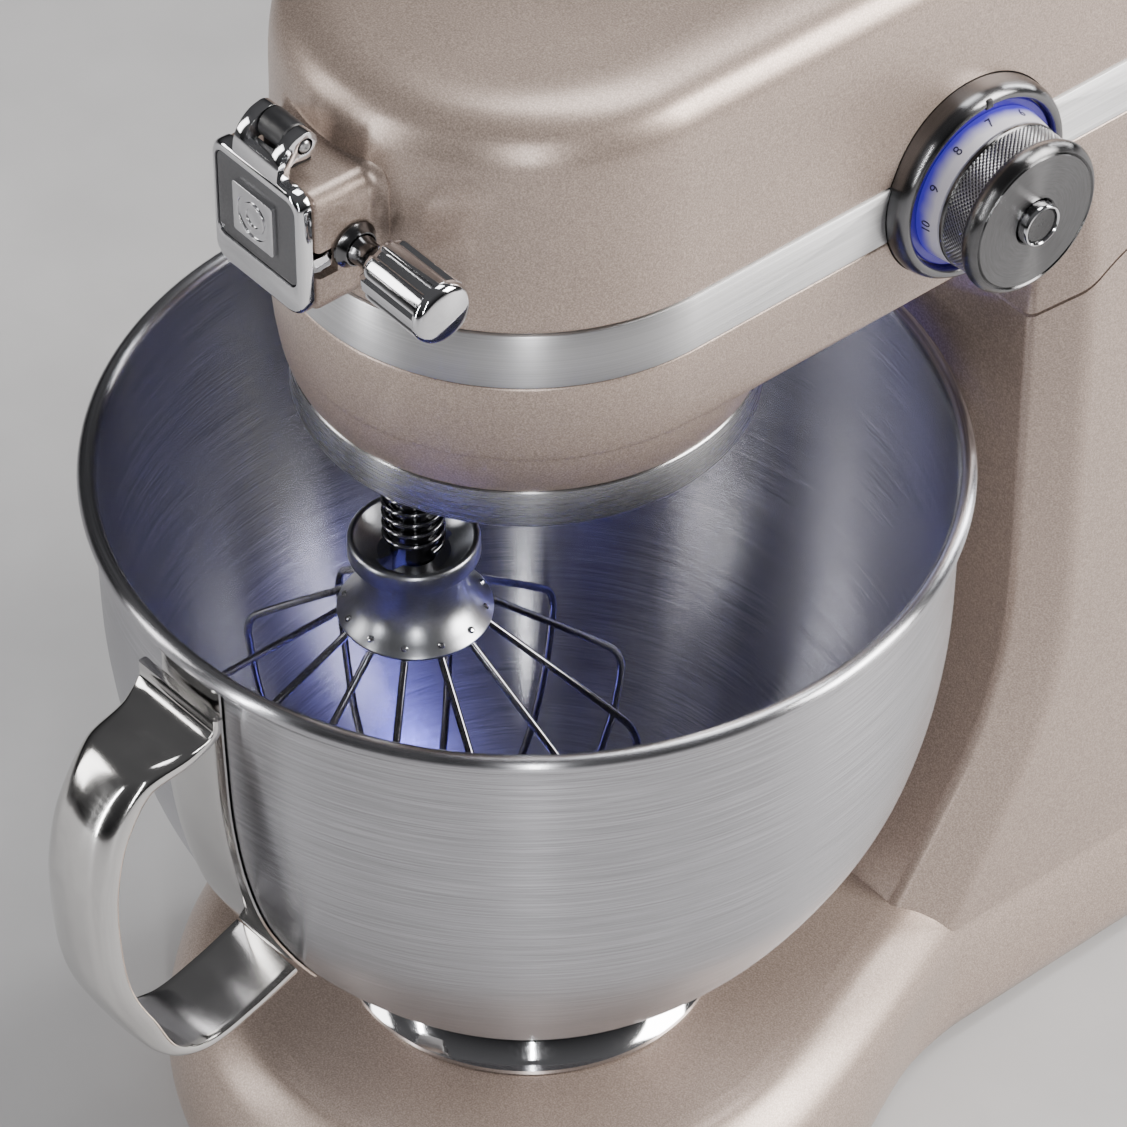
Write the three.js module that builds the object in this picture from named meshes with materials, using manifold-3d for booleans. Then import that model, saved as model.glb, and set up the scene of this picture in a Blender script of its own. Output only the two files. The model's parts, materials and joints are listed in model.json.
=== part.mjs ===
// Tilt-head stand mixer, in millimetres: +Z up, the bowl towards -Y, the speed dial towards +X.
// Heights are above the counter. Across and along are measured from the bowl's axis, and one
// group at the end moves the whole mixer so that the middle of its footprint is at the origin.
import * as THREE from 'three';
import { mergeVertices } from 'three/addons/utils/BufferGeometryUtils.js';
import Module from 'manifold-3d';

const wasm = await Module();
wasm.setup();

// ---------------------------------------------------------------- driving dimensions

const GAP = 0.3; // clearance between pieces that touch
const COUNTER_GAP = 3; // the casting's edge above the counter
const SEAT_Z = 46; // flat floor that the bowl stands on
const RIM_Z = 223; // top of the bowl
const RIM_RADIUS = 114;
const BAND_Z = 298.4; // lower edge of the steel band round the head
const BAND_HEIGHT = 16.4;
const HEAD_HALF_WIDTH = 64;
const HEAD_REAR_Y = 216;
const HEAD_REAR_CORNER = 36;
const HEAD_TOP_Z = 374.5;
const HEAD_FLOOR_Z = 272;
const COLUMN_HALF_WIDTH = 65.4;
const COLUMN_FACE_HALF_WIDTH = 55;
const COLUMN_REAR_CORNER = 30;
const SHELL = 3.6; // wall of the head's two shells
const CASTING_WALL = 5.5;
const PLANET_ARM = 37; // beater axis to planetary axis
const RING_TEETH = 42;
const PLANET_TEETH = 12;
const WHISK_RADIUS = 58;
const HANDLE_REACH = 152.6; // bowl axis to the outside of the handle
const PIVOT = { y: 162, z: 211 }; // hinge pin of the head
const PARTING_CORNER = { y: 121, z: RIM_Z + 12.5 }; // where head and column meet at the front
const PARTING_SLOPE = THREE.MathUtils.degToRad(42);
const REAR_SHELF = THREE.MathUtils.degToRad(-42); // where the knuckle's round ends at the rear
const DIAL = { y: 88.5, z: 306 };
const DIAL_HOLE_RADIUS = 28;
const HUB_Z = 338; // axis of the front drive socket
const THUMB_Y = -67;
const MOTOR_Z = 320;

const KNUCKLE_RADIUS = (PIVOT.y - PARTING_CORNER.y) * Math.sin(PARTING_SLOPE)
  - (PIVOT.z - PARTING_CORNER.z) * Math.cos(PARTING_SLOPE);

// Facets round a full turn, by the size of the piece.
const LARGE = 32;
const MEDIUM = 18;
const SMALL = 12;

// ---------------------------------------------------------------- shape helpers

const radians = THREE.MathUtils.degToRad;

// A closed three.js geometry as a manifold solid with its faces pointing out.
function solid(geometry) {
  const bare = geometry.clone();
  bare.deleteAttribute('normal');
  bare.deleteAttribute('uv');
  const merged = mergeVertices(bare, 1e-3);
  const corners = merged.attributes.position.array;
  const index = merged.index.array;
  const triangles = [];
  let volume = 0;
  for (let i = 0; i < index.length; i += 3) {
    const [a, b, c] = index.slice(i, i + 3);
    if (a === b || b === c || c === a) continue;
    triangles.push(a, b, c);
    const corner = [a, b, c].map((k) => new THREE.Vector3().fromArray(corners, 3 * k));
    volume += corner[0].dot(corner[1].clone().cross(corner[2]));
  }
  if (volume < 0) triangles.reverse();
  return new wasm.Manifold(new wasm.Mesh({
    numProp: 3,
    vertProperties: Float32Array.from(corners),
    triVerts: Uint32Array.from(triangles),
  }));
}

function geometryOf(shape) {
  const mesh = shape.getMesh();
  const geometry = new THREE.BufferGeometry();
  geometry.setAttribute('position', new THREE.BufferAttribute(mesh.vertProperties, 3));
  geometry.setIndex(new THREE.BufferAttribute(mesh.triVerts, 1));
  const faceted = geometry.toNonIndexed();
  faceted.computeVertexNormals();
  return faceted;
}

function joined(...shapes) {
  return shapes.reduce((sum, shape) => sum.add(shape));
}

// A turned solid: the profile is [radius, height] pairs along the named axis.
// A profile that doesn't run from axis to axis is closed into a ring.
function turned(profile, segments, axis = 'z') {
  const closed = profile[0][0] > 0;
  const points = (closed ? [...profile, profile[0]] : profile).map(([r, h]) => new THREE.Vector2(r, h));
  const geometry = new THREE.LatheGeometry(points, segments);
  if (axis === 'z') geometry.rotateX(Math.PI / 2);
  if (axis === 'x') geometry.rotateZ(-Math.PI / 2);
  return solid(geometry);
}

function rod(radius, from, to, segments, axis = 'z') {
  return turned([[0, from], [radius, from], [radius, to], [0, to]], segments, axis);
}

function ring(inner, outer, from, to, segments, axis = 'z') {
  return turned([[inner, from], [outer, from], [outer, to], [inner, to]], segments, axis);
}

function box(x0, x1, y0, y1, z0, z1) {
  const geometry = new THREE.BoxGeometry(x1 - x0, y1 - y0, z1 - z0);
  geometry.translate((x0 + x1) / 2, (y0 + y1) / 2, (z0 + z1) / 2);
  return solid(geometry);
}

// An outline of [x, y] points raised from one height to another.
function raised(outline, from, to, hole = null) {
  const shape = new THREE.Shape(outline.map(([x, y]) => new THREE.Vector2(x, y)));
  if (hole) shape.holes.push(new THREE.Path(hole.map(([x, y]) => new THREE.Vector2(x, y))));
  const geometry = new THREE.ExtrudeGeometry(shape, { depth: to - from, bevelEnabled: false });
  geometry.translate(0, 0, from);
  return solid(geometry);
}

// An outline of [y, z] points stretched across the mixer.
function across(outline, from, to) {
  const shape = new THREE.Shape(outline.map(([y, z]) => new THREE.Vector2(y, z)));
  const geometry = new THREE.ExtrudeGeometry(shape, { depth: to - from, bevelEnabled: false });
  geometry.translate(0, 0, from);
  const turn = new THREE.Matrix4().makeBasis(
    new THREE.Vector3(0, 1, 0),
    new THREE.Vector3(0, 0, 1),
    new THREE.Vector3(1, 0, 0),
  );
  geometry.applyMatrix4(turn);
  return solid(geometry);
}

// An outline of [x, z] points stretched from front to rear.
function along(outline, from, to) {
  const shape = new THREE.Shape(outline.map(([x, z]) => new THREE.Vector2(x, -z)));
  const geometry = new THREE.ExtrudeGeometry(shape, { depth: to - from, bevelEnabled: false });
  geometry.rotateX(-Math.PI / 2);
  const points = geometry.attributes.position;
  for (let i = 0; i < points.count; i += 1) {
    points.setXYZ(i, points.getX(i), points.getY(i) + from, points.getZ(i));
  }
  return solid(geometry);
}

// Walls through a row of rings of [x, y, z] points, closed by the given triangles at each end.
function skin(rings, capTriangles) {
  const count = rings[0].length;
  const index = [];
  for (let level = 0; level < rings.length - 1; level += 1) {
    for (let i = 0; i < count; i += 1) {
      const a = level * count + i;
      const b = level * count + ((i + 1) % count);
      index.push(a, b, b + count, a, b + count, a + count);
    }
  }
  const last = (rings.length - 1) * count;
  for (const [a, b, c] of capTriangles) {
    index.push(a, c, b);
    index.push(last + a, last + b, last + c);
  }
  const geometry = new THREE.BufferGeometry();
  geometry.setAttribute('position', new THREE.Float32BufferAttribute(rings.flat(2), 3));
  geometry.setIndex(index);
  return solid(geometry);
}

// A solid through a stack of level outlines that share one layout of points.
function loft(sections) {
  const flat = sections[0].outline.map(([x, y]) => new THREE.Vector2(x, y));
  const cap = THREE.ShapeUtils.triangulateShape(flat, []);
  return skin(sections.map(({ outline, z }) => outline.map(([x, y]) => [x, y, z])), cap);
}

function arc(centre, radius, fromDegrees, toDegrees, steps) {
  const points = [];
  for (let i = 0; i <= steps; i += 1) {
    const angle = radians(fromDegrees + ((toDegrees - fromDegrees) * i) / steps);
    points.push([centre[0] + radius * Math.cos(angle), centre[1] + radius * Math.sin(angle)]);
  }
  return points;
}

// A loop from its right half, which runs from the front to the rear.
function mirrored(rightHalf) {
  const left = rightHalf.filter(([x]) => x > 0).map(([x, y]) => [-x, y]).reverse();
  return [...rightHalf, ...left];
}

function roundedRectangle(halfWidth, low, high, radius, steps) {
  return [
    ...arc([halfWidth - radius, low + radius], radius, -90, 0, steps),
    ...arc([halfWidth - radius, high - radius], radius, 0, 90, steps),
    ...arc([radius - halfWidth, high - radius], radius, 90, 180, steps),
    ...arc([radius - halfWidth, low + radius], radius, 180, 270, steps),
  ];
}

// A star of straight-sided teeth; shares are of one tooth's pitch.
function toothed(teeth, rootRadius, tipRadius, rootShare, tipShare, turn = 0) {
  const points = [];
  const pitch = 360 / teeth;
  for (let i = 0; i < teeth; i += 1) {
    const middle = i * pitch + turn;
    const corners = [[rootRadius, -rootShare], [tipRadius, -tipShare], [tipRadius, tipShare], [rootRadius, rootShare]];
    for (const [radius, share] of corners) {
      const angle = radians(middle + (share * pitch) / 2);
      points.push([radius * Math.cos(angle), radius * Math.sin(angle)]);
    }
  }
  return points;
}

function circle(radius, steps) {
  return arc([0, 0], radius, 0, 360, steps).slice(0, -1);
}

function mixerMaterial(color, metalness, roughness) {
  return new THREE.MeshStandardMaterial({ color, metalness, roughness });
}

const paint = mixerMaterial(0x9f9187, 0.5, 0.38);
const brushedSteel = mixerMaterial(0xa9a9ac, 1, 0.34);
const chrome = mixerMaterial(0xd4d5d8, 1, 0.08);
const darkChrome = mixerMaterial(0x55565a, 1, 0.16);
const satinGrey = mixerMaterial(0x8b8a8c, 0.6, 0.45);
const machinedSteel = mixerMaterial(0x97989a, 1, 0.3);
const darkPlastic = mixerMaterial(0x25252a, 0, 0.5);
const rubber = mixerMaterial(0x2b2b2d, 0, 0.85);
const bronze = mixerMaterial(0xa87d46, 1, 0.35);
const blueGlow = mixerMaterial(0x4a44c8, 0, 0.4);
const frosted = mixerMaterial(0xd8dcf0, 0, 0.35);
const paleRing = mixerMaterial(0xc9c8cc, 0.2, 0.4);

const body = new THREE.Group();
// The handle's outside and the head's rear are the two ends of the mixer.
body.position.y = -(HEAD_REAR_Y - HANDLE_REACH) / 2;

function addPart(name, shape, material) {
  const mesh = new THREE.Mesh(geometryOf(shape), material);
  mesh.name = name;
  body.add(mesh);
}

// ---------------------------------------------------------------- stand

// Region of the side view that belongs to the column: under a slanting line, then under a round
// knuckle about the hinge pin, then behind a shelf. The offset grows or shrinks it.
function partingRegion(offset) {
  const radius = KNUCKLE_RADIUS + offset;
  const shelf = THREE.MathUtils.radToDeg(REAR_SHELF);
  const tangent = 90 + THREE.MathUtils.radToDeg(PARTING_SLOPE);
  const knuckle = arc([PIVOT.y, PIVOT.z], radius, shelf, tangent, 16);
  const [touchY, touchZ] = knuckle[knuckle.length - 1];
  const frontY = 20;
  const frontZ = touchZ - (touchY - frontY) * Math.tan(PARTING_SLOPE);
  const shelfZ = knuckle[0][1];
  return [[frontY, -20], [260, -20], [260, shelfZ], ...knuckle, [frontY, frontZ]];
}

// Front edge of the column at a height: upright, bending on an arc, then leaning to the bowl.
function columnFront(z, topY, bendRadius, lean) {
  const drop = RIM_Z - 80 - z;
  if (drop <= 0) return topY;
  const arcDrop = bendRadius * Math.sin(lean);
  if (drop <= arcDrop) return topY - bendRadius + Math.sqrt(bendRadius ** 2 - drop ** 2);
  return topY - bendRadius * (1 - Math.cos(lean)) - (drop - arcDrop) * Math.tan(lean);
}

function columnRear(z) {
  const shelfZ = PIVOT.z + KNUCKLE_RADIUS * Math.sin(REAR_SHELF);
  const kneeY = PIVOT.y + KNUCKLE_RADIUS * Math.cos(REAR_SHELF);
  if (z > shelfZ - 1) return PIVOT.y + KNUCKLE_RADIUS + 1;
  return kneeY + ((shelfZ - z) / shelfZ) * 13;
}

function columnOutline(faceHalfWidth, sideHalfWidth, faceY, sideY, rearY, corner) {
  return mirrored([
    [faceHalfWidth, faceY],
    [sideHalfWidth, sideY],
    ...arc([sideHalfWidth - corner, rearY - corner], corner, 0, 90, 4),
  ]);
}

function columnSolid(inset, bottom, top) {
  const levels = [bottom, 46, 77, 92, 108, 125, 143, 178, 182, top].filter((z, i, all) => {
    return i === 0 || z > all[0];
  });
  return loft(levels.map((z) => ({
    z,
    outline: columnOutline(
      COLUMN_FACE_HALF_WIDTH - inset,
      COLUMN_HALF_WIDTH - inset,
      columnFront(z, 121.5, 125, radians(31.8)) + inset,
      columnFront(z, 133, 143, radians(27.5)) + inset * 0.6,
      columnRear(z) - inset,
      COLUMN_REAR_CORNER - inset,
    ),
  })));
}

// Keyhole plan of the base: round under the bowl, narrowing to a straight tail.
function keyhole(radius, leaveDegrees, tailHalfWidth, tailY, slope, rearY, corner) {
  const front = arc([0, 0], radius, -90, leaveDegrees, 12);
  const [startX, startY] = front[front.length - 1];
  const leave = radians(leaveDegrees);
  const reach = 27;
  const blend = new THREE.CubicBezierCurve(
    new THREE.Vector2(startX, startY),
    new THREE.Vector2(startX - reach * Math.sin(leave), startY + reach * Math.cos(leave)),
    new THREE.Vector2(tailHalfWidth + 0.92 * reach * slope, tailY - 0.92 * reach),
    new THREE.Vector2(tailHalfWidth, tailY),
  );
  return mirrored([
    ...front,
    ...blend.getPoints(4).slice(1).map((p) => [p.x, p.y]),
    ...arc([tailHalfWidth - corner, rearY - corner], corner, 0, 90, 4),
  ]);
}

function baseSolid() {
  return loft([
    { z: COUNTER_GAP, outline: keyhole(96.5, 24, 69.5, 95, 0.1, 208, 30) },
    { z: 8, outline: keyhole(99, 24, 71.5, 95, 0.1, 210, 30) },
    { z: 22, outline: keyhole(99, 20, 70, 96, 0.2, 210, 30) },
    { z: 35, outline: keyhole(94.5, 13, COLUMN_HALF_WIDTH, 98, 0.4, 207, 29) },
    { z: SEAT_Z, outline: keyhole(81, 14, COLUMN_FACE_HALF_WIDTH, 84, 0.35, 190, 20) },
  ]);
}

const yokeHalfWidth = 16;
const cheekThickness = 10;
const pinRadius = 6;
const yokeDirection = 112; // degrees from the rear to the top, seen from the right side

function partingSlot() {
  const sector = [[PIVOT.y, PIVOT.z], ...arc([PIVOT.y, PIVOT.z], 70, 32, 142, 8)];
  const half = yokeHalfWidth + 1;
  const wedge = across(sector, -half, half);
  const well = rod(26, -half, half, MEDIUM, 'x').translate([0, PIVOT.y, PIVOT.z]);
  return wedge.add(well);
}

function standCasting() {
  const outerColumn = columnSolid(0, 28, 262).intersect(across(partingRegion(0), -90, 90));
  const innerColumn = columnSolid(CASTING_WALL, 20, 262)
    .intersect(across(partingRegion(-CASTING_WALL), -90, 90));
  const innerBase = loft([
    { z: 0, outline: keyhole(91.5, 24, 65, 95, 0.1, 203, 25) },
    { z: 22, outline: keyhole(92, 20, 63.5, 96, 0.2, 203, 25) },
    { z: SEAT_Z - CASTING_WALL, outline: keyhole(80, 13, 55, 96, 0.35, 196, 24) },
  ]);
  const outer = baseSolid().add(outerColumn);
  const inner = innerBase.add(innerColumn);
  const start = yokeHalfWidth + 1;
  const cheekSide = [[120, 160], [196, 160], [204, 200], [206, 225], [180, 252], [140, 250], [124, 232]];
  const cheeks = across(cheekSide, start, start + cheekThickness)
    .add(across(cheekSide, -start - cheekThickness, -start))
    .intersect(columnSolid(1, 28, 262).intersect(across(partingRegion(-1), -90, 90)));
  const bushBore = rod(pinRadius + 3 + GAP, -40, 40, MEDIUM, 'x').translate([0, PIVOT.y, PIVOT.z]);
  const leverBore = rod(5 + GAP, -80, -50, SMALL, 'x').translate([0, 150, 168]);
  const seatBore = rod(38 + GAP, SEAT_Z - 3, SEAT_Z + 1, LARGE);
  const glandBore = rod(8 + GAP, 190, 230, SMALL, 'y').translate([0, 0, 24]);
  return outer.subtract(inner).add(cheeks).subtract(partingSlot()).subtract(bushBore)
    .subtract(leverBore).subtract(seatBore).subtract(glandBore);
}

addPart('stand_casting', standCasting(), paint);

function bottomPlate() {
  const plate = raised(keyhole(91, 24, 64.5, 95, 0.1, 202.5, 25), COUNTER_GAP + GAP, COUNTER_GAP + 2.3);
  return footCentres.reduce((sheet, [x, y]) => {
    return sheet.subtract(rod(6 + GAP, 0, 10, SMALL).translate([x, y, 0]));
  }, plate);
}

const footCentres = [[-52, 178], [52, 178], [-62, -34], [62, -34]];
addPart('bottom_plate', bottomPlate(), darkPlastic);

footCentres.forEach(([x, y], i) => {
  const foot = turned([[0, 0], [10, 0], [11, 1], [11, 3], [6, 3], [6, 8], [0, 8]], SMALL);
  addPart(`rubber_foot_${i + 1}`, foot.translate([x, y, 0]), rubber);
});

// The seat's lugs reach over the tabs inside the bowl's foot.
function bowlSeat() {
  const disc = turned([[0, SEAT_Z - 2.7], [38, SEAT_Z - 2.7], [38, 51], [36, 53], [0, 53]], LARGE);
  const lugRing = ring(35, 43, 50, 52.5, LARGE);
  const lugs = [0, 120, 240].map((turn) => {
    const wedge = [[0, 0], ...arc([0, 0], 60, turn - 14, turn + 14, 4)];
    return lugRing.intersect(raised(wedge, 49, 54));
  });
  return joined(disc, ...lugs);
}

addPart('bowl_seat', bowlSeat(), machinedSteel);
addPart('hinge_pin', rod(pinRadius, -34, 34, MEDIUM, 'x').translate([0, PIVOT.y, PIVOT.z]), machinedSteel);

['left', 'right'].forEach((side, i) => {
  const direction = i === 0 ? -1 : 1;
  const near = (yokeHalfWidth + 1) * direction;
  const far = near + 12 * direction;
  const bush = ring(pinRadius + GAP, pinRadius + 3, Math.min(near, far), Math.max(near, far), MEDIUM, 'x');
  addPart(`hinge_bush_${side}`, bush.translate([0, PIVOT.y, PIVOT.z]), bronze);
});

addPart('power_cord_gland', turned([
  [3.6, 198], [8, 198], [8, 210.6], [10.5, 210.6], [10.5, 213], [5.6, 215.6], [3.6, 215.6],
], SMALL, 'y').translate([0, 0, 24]), rubber);

addPart('lock_plunger', turned([
  [0, 150], [7.5, 150], [7.5, 153], [5, 153], [5, 187], [3.5, 190.5], [0, 190.5],
], SMALL).translate([0, PIVOT.y, 0]), machinedSteel);

function releaseLever() {
  const hub = turned([[0, -75], [8, -75], [9, -74], [9, -66], [5, -66], [5, -56], [0, -56]], SMALL, 'x');
  const paddle = across(roundedLever(), -74, -67);
  return hub.translate([0, 150, 168]).add(paddle);
}

function roundedLever() {
  return [...arc([150, 168], 7, 120, 240, 5), ...arc([186, 163], 5.5, -90, 80, 6)];
}

addPart('release_lever', releaseLever(), chrome);

// ---------------------------------------------------------------- bowl

const bowlWall = 1.3;
const bowlBottomZ = RIM_Z - 166;

// Outside of the bowl from the middle of its floor to the rim, as [radius, height].
const bowlOutside = [
  [0, -166], [45, -166], [54, -158.5], [63.5, -150], [73.5, -138.8], [83.5, -125.5], [92.5, -110.5],
  [100.5, -93.5], [106, -74], [109.2, -52], [110, -30], [110.2, -6],
].map(([radius, drop]) => [radius, RIM_Z + drop]);

function offsetInside(profile, wall) {
  return profile.map(([radius, z], i) => {
    const before = profile[Math.max(i - 1, 0)];
    const after = profile[Math.min(i + 1, profile.length - 1)];
    const length = Math.hypot(after[0] - before[0], after[1] - before[1]);
    const inward = [-(after[1] - before[1]) / length, (after[0] - before[0]) / length];
    return [Math.max(radius + inward[0] * wall, 0), z + inward[1] * wall];
  });
}

function bowlShell() {
  const bead = arc([RIM_RADIUS - 2.5, RIM_Z - 2.5], 2.5, -120, 180, 5);
  const inside = offsetInside(bowlOutside, bowlWall);
  inside[0][0] = 0;
  return turned([...bowlOutside, ...bead, ...inside.reverse()], LARGE);
}

addPart('bowl_shell', bowlShell(), brushedSteel);

function bowlFoot() {
  const top = bowlBottomZ - GAP;
  const low = SEAT_Z + GAP;
  const skirt = turned([
    [50, low], [51.8, low], [51.8, low + 1.6], [47.6, low + 5], [45.4, top - 2], [45.4, top], [42, top],
    [43.6, top - 3], [46, low + 4.2], [50, low + 1.2],
  ], LARGE);
  const tabRing = ring(45, 50.4, low, low + 1.8, LARGE);
  const tabs = [0, 120, 240].map((turn) => {
    const wedge = [[0, 0], ...arc([0, 0], 70, turn - 10, turn + 10, 4)];
    return tabRing.intersect(raised(wedge, 40, 60));
  });
  return joined(skirt, ...tabs);
}

addPart('bowl_foot', bowlFoot(), chrome);

const handleTurn = 2; // degrees round the bowl, towards the dial's side
const strapSteps = 36;
const strapLine = new THREE.SplineCurve([
  [-115.3, -11], [-115.6, -15], [-121.4, -18.6], [-136, -20.5], [-146.5, -32], [-HANDLE_REACH + 0.9, -50],
  [-HANDLE_REACH + 0.4, -70], [-149.6, -90], [-143, -106], [-133.5, -120.6], [-120, -126], [-104, -123.5],
  [-90.1, -119],
].map(([y, drop]) => new THREE.Vector2(y, RIM_Z + drop)));

// A strap that is a thin plate at both ends and has a thick rounded back between them.
function bowlHandle() {
  const rings = [];
  for (let i = 0; i <= strapSteps; i += 1) {
    const share = i / strapSteps;
    const point = strapLine.getPoint(share);
    const tangent = strapLine.getTangent(share);
    const swell = Math.sin(Math.PI * Math.min(share / 0.85, 1)) ** 1.5;
    const halfWidth = 12 + 3 * Math.max(0, 1 - share / 0.25);
    const depth = 2.6 + 4 * swell;
    const edge = depth * (0.35 + 0.25 * swell);
    const shoulder = halfWidth - 0.8 - 2.8 * swell;
    rings.push([
      [-shoulder, 0], [shoulder, 0], [halfWidth, edge], [halfWidth, depth], [-halfWidth, depth], [-halfWidth, edge],
    ].map(([x, inward]) => [x, point.x - tangent.y * inward, point.y + tangent.x * inward]));
  }
  const cap = [[0, 1, 2], [0, 2, 3], [0, 3, 4], [0, 4, 5]];
  return skin(rings, cap).rotate([0, 0, handleTurn]);
}

addPart('bowl_handle', bowlHandle(), chrome);

function handleBacking() {
  const reach = 0.5;
  const wall = bowlOutside.filter(([, z]) => z > RIM_Z - 128).map(([radius, z]) => [-radius - reach, z]);
  const outside = wall.map(([y, z]) => [y - 1.1, z]);
  return across([...wall, ...outside.reverse()], -11, 11).rotate([0, 0, handleTurn]);
}

addPart('handle_backing', handleBacking(), chrome);

// ---------------------------------------------------------------- head shells

function stadium(halfWidth, rearY, corner) {
  return mirrored([
    ...arc([0, 0], halfWidth, -90, 0, 9),
    ...arc([halfWidth - corner, rearY - corner], corner, 0, 90, 4),
  ]);
}

function headSection(z, inset) {
  const outline = stadium(HEAD_HALF_WIDTH - inset, HEAD_REAR_Y - inset, HEAD_REAR_CORNER - inset * 0.7);
  return { z, outline };
}

function dialHole() {
  return rod(DIAL_HOLE_RADIUS, 40, 90, LARGE, 'x').translate([0, DIAL.y, DIAL.z]);
}

const bandTop = BAND_Z + BAND_HEIGHT;
const bossFrontY = -77.5;

function upperShell() {
  const outer = loft([
    headSection(bandTop + GAP, 0.6),
    headSection(RIM_Z + 114, 2.2),
    headSection(RIM_Z + 137, 2.7),
    headSection(RIM_Z + 143, 4.2),
    headSection(RIM_Z + 146.6, 6.6),
    headSection(RIM_Z + 148.8, 10),
    headSection(HEAD_TOP_Z - 1, 24),
    headSection(HEAD_TOP_Z, 44),
  ]);
  const inner = loft([
    headSection(bandTop - 5, SHELL + 0.6),
    headSection(RIM_Z + 114, SHELL + 2.2),
    headSection(RIM_Z + 138, SHELL + 4),
    headSection(RIM_Z + 143.5, SHELL + 10),
  ]);
  const boss = along(roundedRectangle(17.6, RIM_Z + 97.6, RIM_Z + 132.6, 4, 3), bossFrontY, -40);
  const ventOpening = box(-26, 26, HEAD_REAR_Y - 12, HEAD_REAR_Y + 8, 326, 352);
  return outer.subtract(inner).add(boss.subtract(inner))
    .subtract(rod(15 + GAP, -100, -30, MEDIUM, 'y').translate([0, 0, HUB_Z]))
    .subtract(rod(4.4, 10, 30, SMALL, 'x').translate([0, THUMB_Y, HUB_Z - 0.5]))
    .subtract(ventOpening)
    .subtract(dialHole());
}

addPart('head_upper_shell', upperShell(), paint);

function neckSection(z, sideHalfWidth, faceInset) {
  const corner = HEAD_REAR_CORNER - 3 - faceInset * 0.7;
  const outline = columnOutline(
    COLUMN_FACE_HALF_WIDTH - faceInset,
    sideHalfWidth,
    121.5 + faceInset,
    133 + faceInset * 0.6,
    HEAD_REAR_Y - faceInset,
    corner,
  );
  return { z, outline };
}

const skirtZ = RIM_Z + 38.9;
const ringBore = 56.3;
const yokeArmLength = 76;

// Arm of the hinge yoke in the side view, grown by a clearance.
function yokeArm(clearance) {
  const half = 12 + clearance;
  const direction = radians(yokeDirection);
  const forward = [Math.cos(direction), Math.sin(direction)];
  const side = [-forward[1], forward[0]];
  const reach = yokeArmLength + clearance;
  const corner = (length, width) => [
    PIVOT.y + forward[0] * length + side[0] * width,
    PIVOT.z + forward[1] * length + side[1] * width,
  ];
  return [corner(0, half), corner(0, -half), corner(reach, -half), corner(reach, half)];
}

function lowerShell() {
  const top = BAND_Z - GAP;
  const sides = loft([
    headSection(HEAD_FLOOR_Z, 3.4),
    headSection(HEAD_FLOOR_Z + 1.2, 2),
    headSection(HEAD_FLOOR_Z + 4, 1.2),
    headSection(top, 0.2),
  ]);
  const skirt = turned([
    [0, skirtZ], [59.7, skirtZ], [61.4, skirtZ + 5], [62.6, skirtZ + 13], [63.8, top], [0, top],
  ], LARGE);
  const neckOuter = loft([
    neckSection(PIVOT.z + 10, COLUMN_HALF_WIDTH, 0),
    neckSection(258, COLUMN_HALF_WIDTH, 0),
    neckSection(290, HEAD_HALF_WIDTH - 0.5, 0.3),
  ]);
  const neckInner = loft([
    neckSection(PIVOT.z, COLUMN_HALF_WIDTH - SHELL, SHELL),
    neckSection(258, COLUMN_HALF_WIDTH - SHELL, SHELL),
    neckSection(292, HEAD_HALF_WIDTH - 0.5 - SHELL, SHELL),
  ]);
  const sidesInner = loft([
    headSection(HEAD_FLOOR_Z + SHELL, SHELL + 1.4),
    headSection(top + 4, SHELL + 0.2),
  ]);
  const inner = sidesInner.add(neckInner.subtract(across(partingRegion(SHELL + 0.8), -90, 90)));
  const yokeHalf = yokeHalfWidth + 0.6;
  return joined(sides, skirt, neckOuter).subtract(inner)
    .subtract(across(partingRegion(0.8), -90, 90))
    .subtract(rod(ringBore, 250, 300, LARGE))
    .subtract(across(yokeArm(0.6), -yokeHalf, yokeHalf))
    .subtract(rod(9 + GAP, 260, 290, MEDIUM).translate([0, 90, 0]))
    .subtract(dialHole());
}

addPart('head_lower_shell', lowerShell(), paint);

function trimBand() {
  const outer = loft([headSection(BAND_Z, 0.1), headSection(bandTop, 0.1)]);
  const inner = loft([headSection(BAND_Z - 1, 2.6), headSection(bandTop + 1, 2.6)]);
  return outer.subtract(inner).subtract(dialHole());
}

addPart('trim_band', trimBand(), brushedSteel);
addPart('drip_ring', turned([
  [53.6, RIM_Z + 26.9], [58.6, RIM_Z + 26.9], [59.4, RIM_Z + 27.7], [59.4, skirtZ - GAP], [53.6, skirtZ - GAP],
], LARGE), brushedSteel);

function ventGrille() {
  const plate = box(-25.6, 25.6, HEAD_REAR_Y - 6, HEAD_REAR_Y - 3, 326.4, 351.6);
  const slots = [330, 334.6, 339.2, 343.8, 348.4].map((z) => {
    return box(-21, 21, HEAD_REAR_Y - 8, HEAD_REAR_Y, z - 1.2, z + 1.2);
  });
  return slots.reduce((sheet, slot) => sheet.subtract(slot), plate);
}

addPart('rear_vent_grille', ventGrille(), darkPlastic);
addPart('bowl_light_lens', turned([
  [0, HEAD_FLOOR_Z - 1.5], [7, HEAD_FLOOR_Z - 1.5], [9, HEAD_FLOOR_Z], [9, HEAD_FLOOR_Z + 5], [0, HEAD_FLOOR_Z + 5],
], MEDIUM).translate([0, 90, 0]), frosted);

// ---------------------------------------------------------------- drive inside the head

const frameZ = HEAD_FLOOR_Z + SHELL + 0.6;

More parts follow.
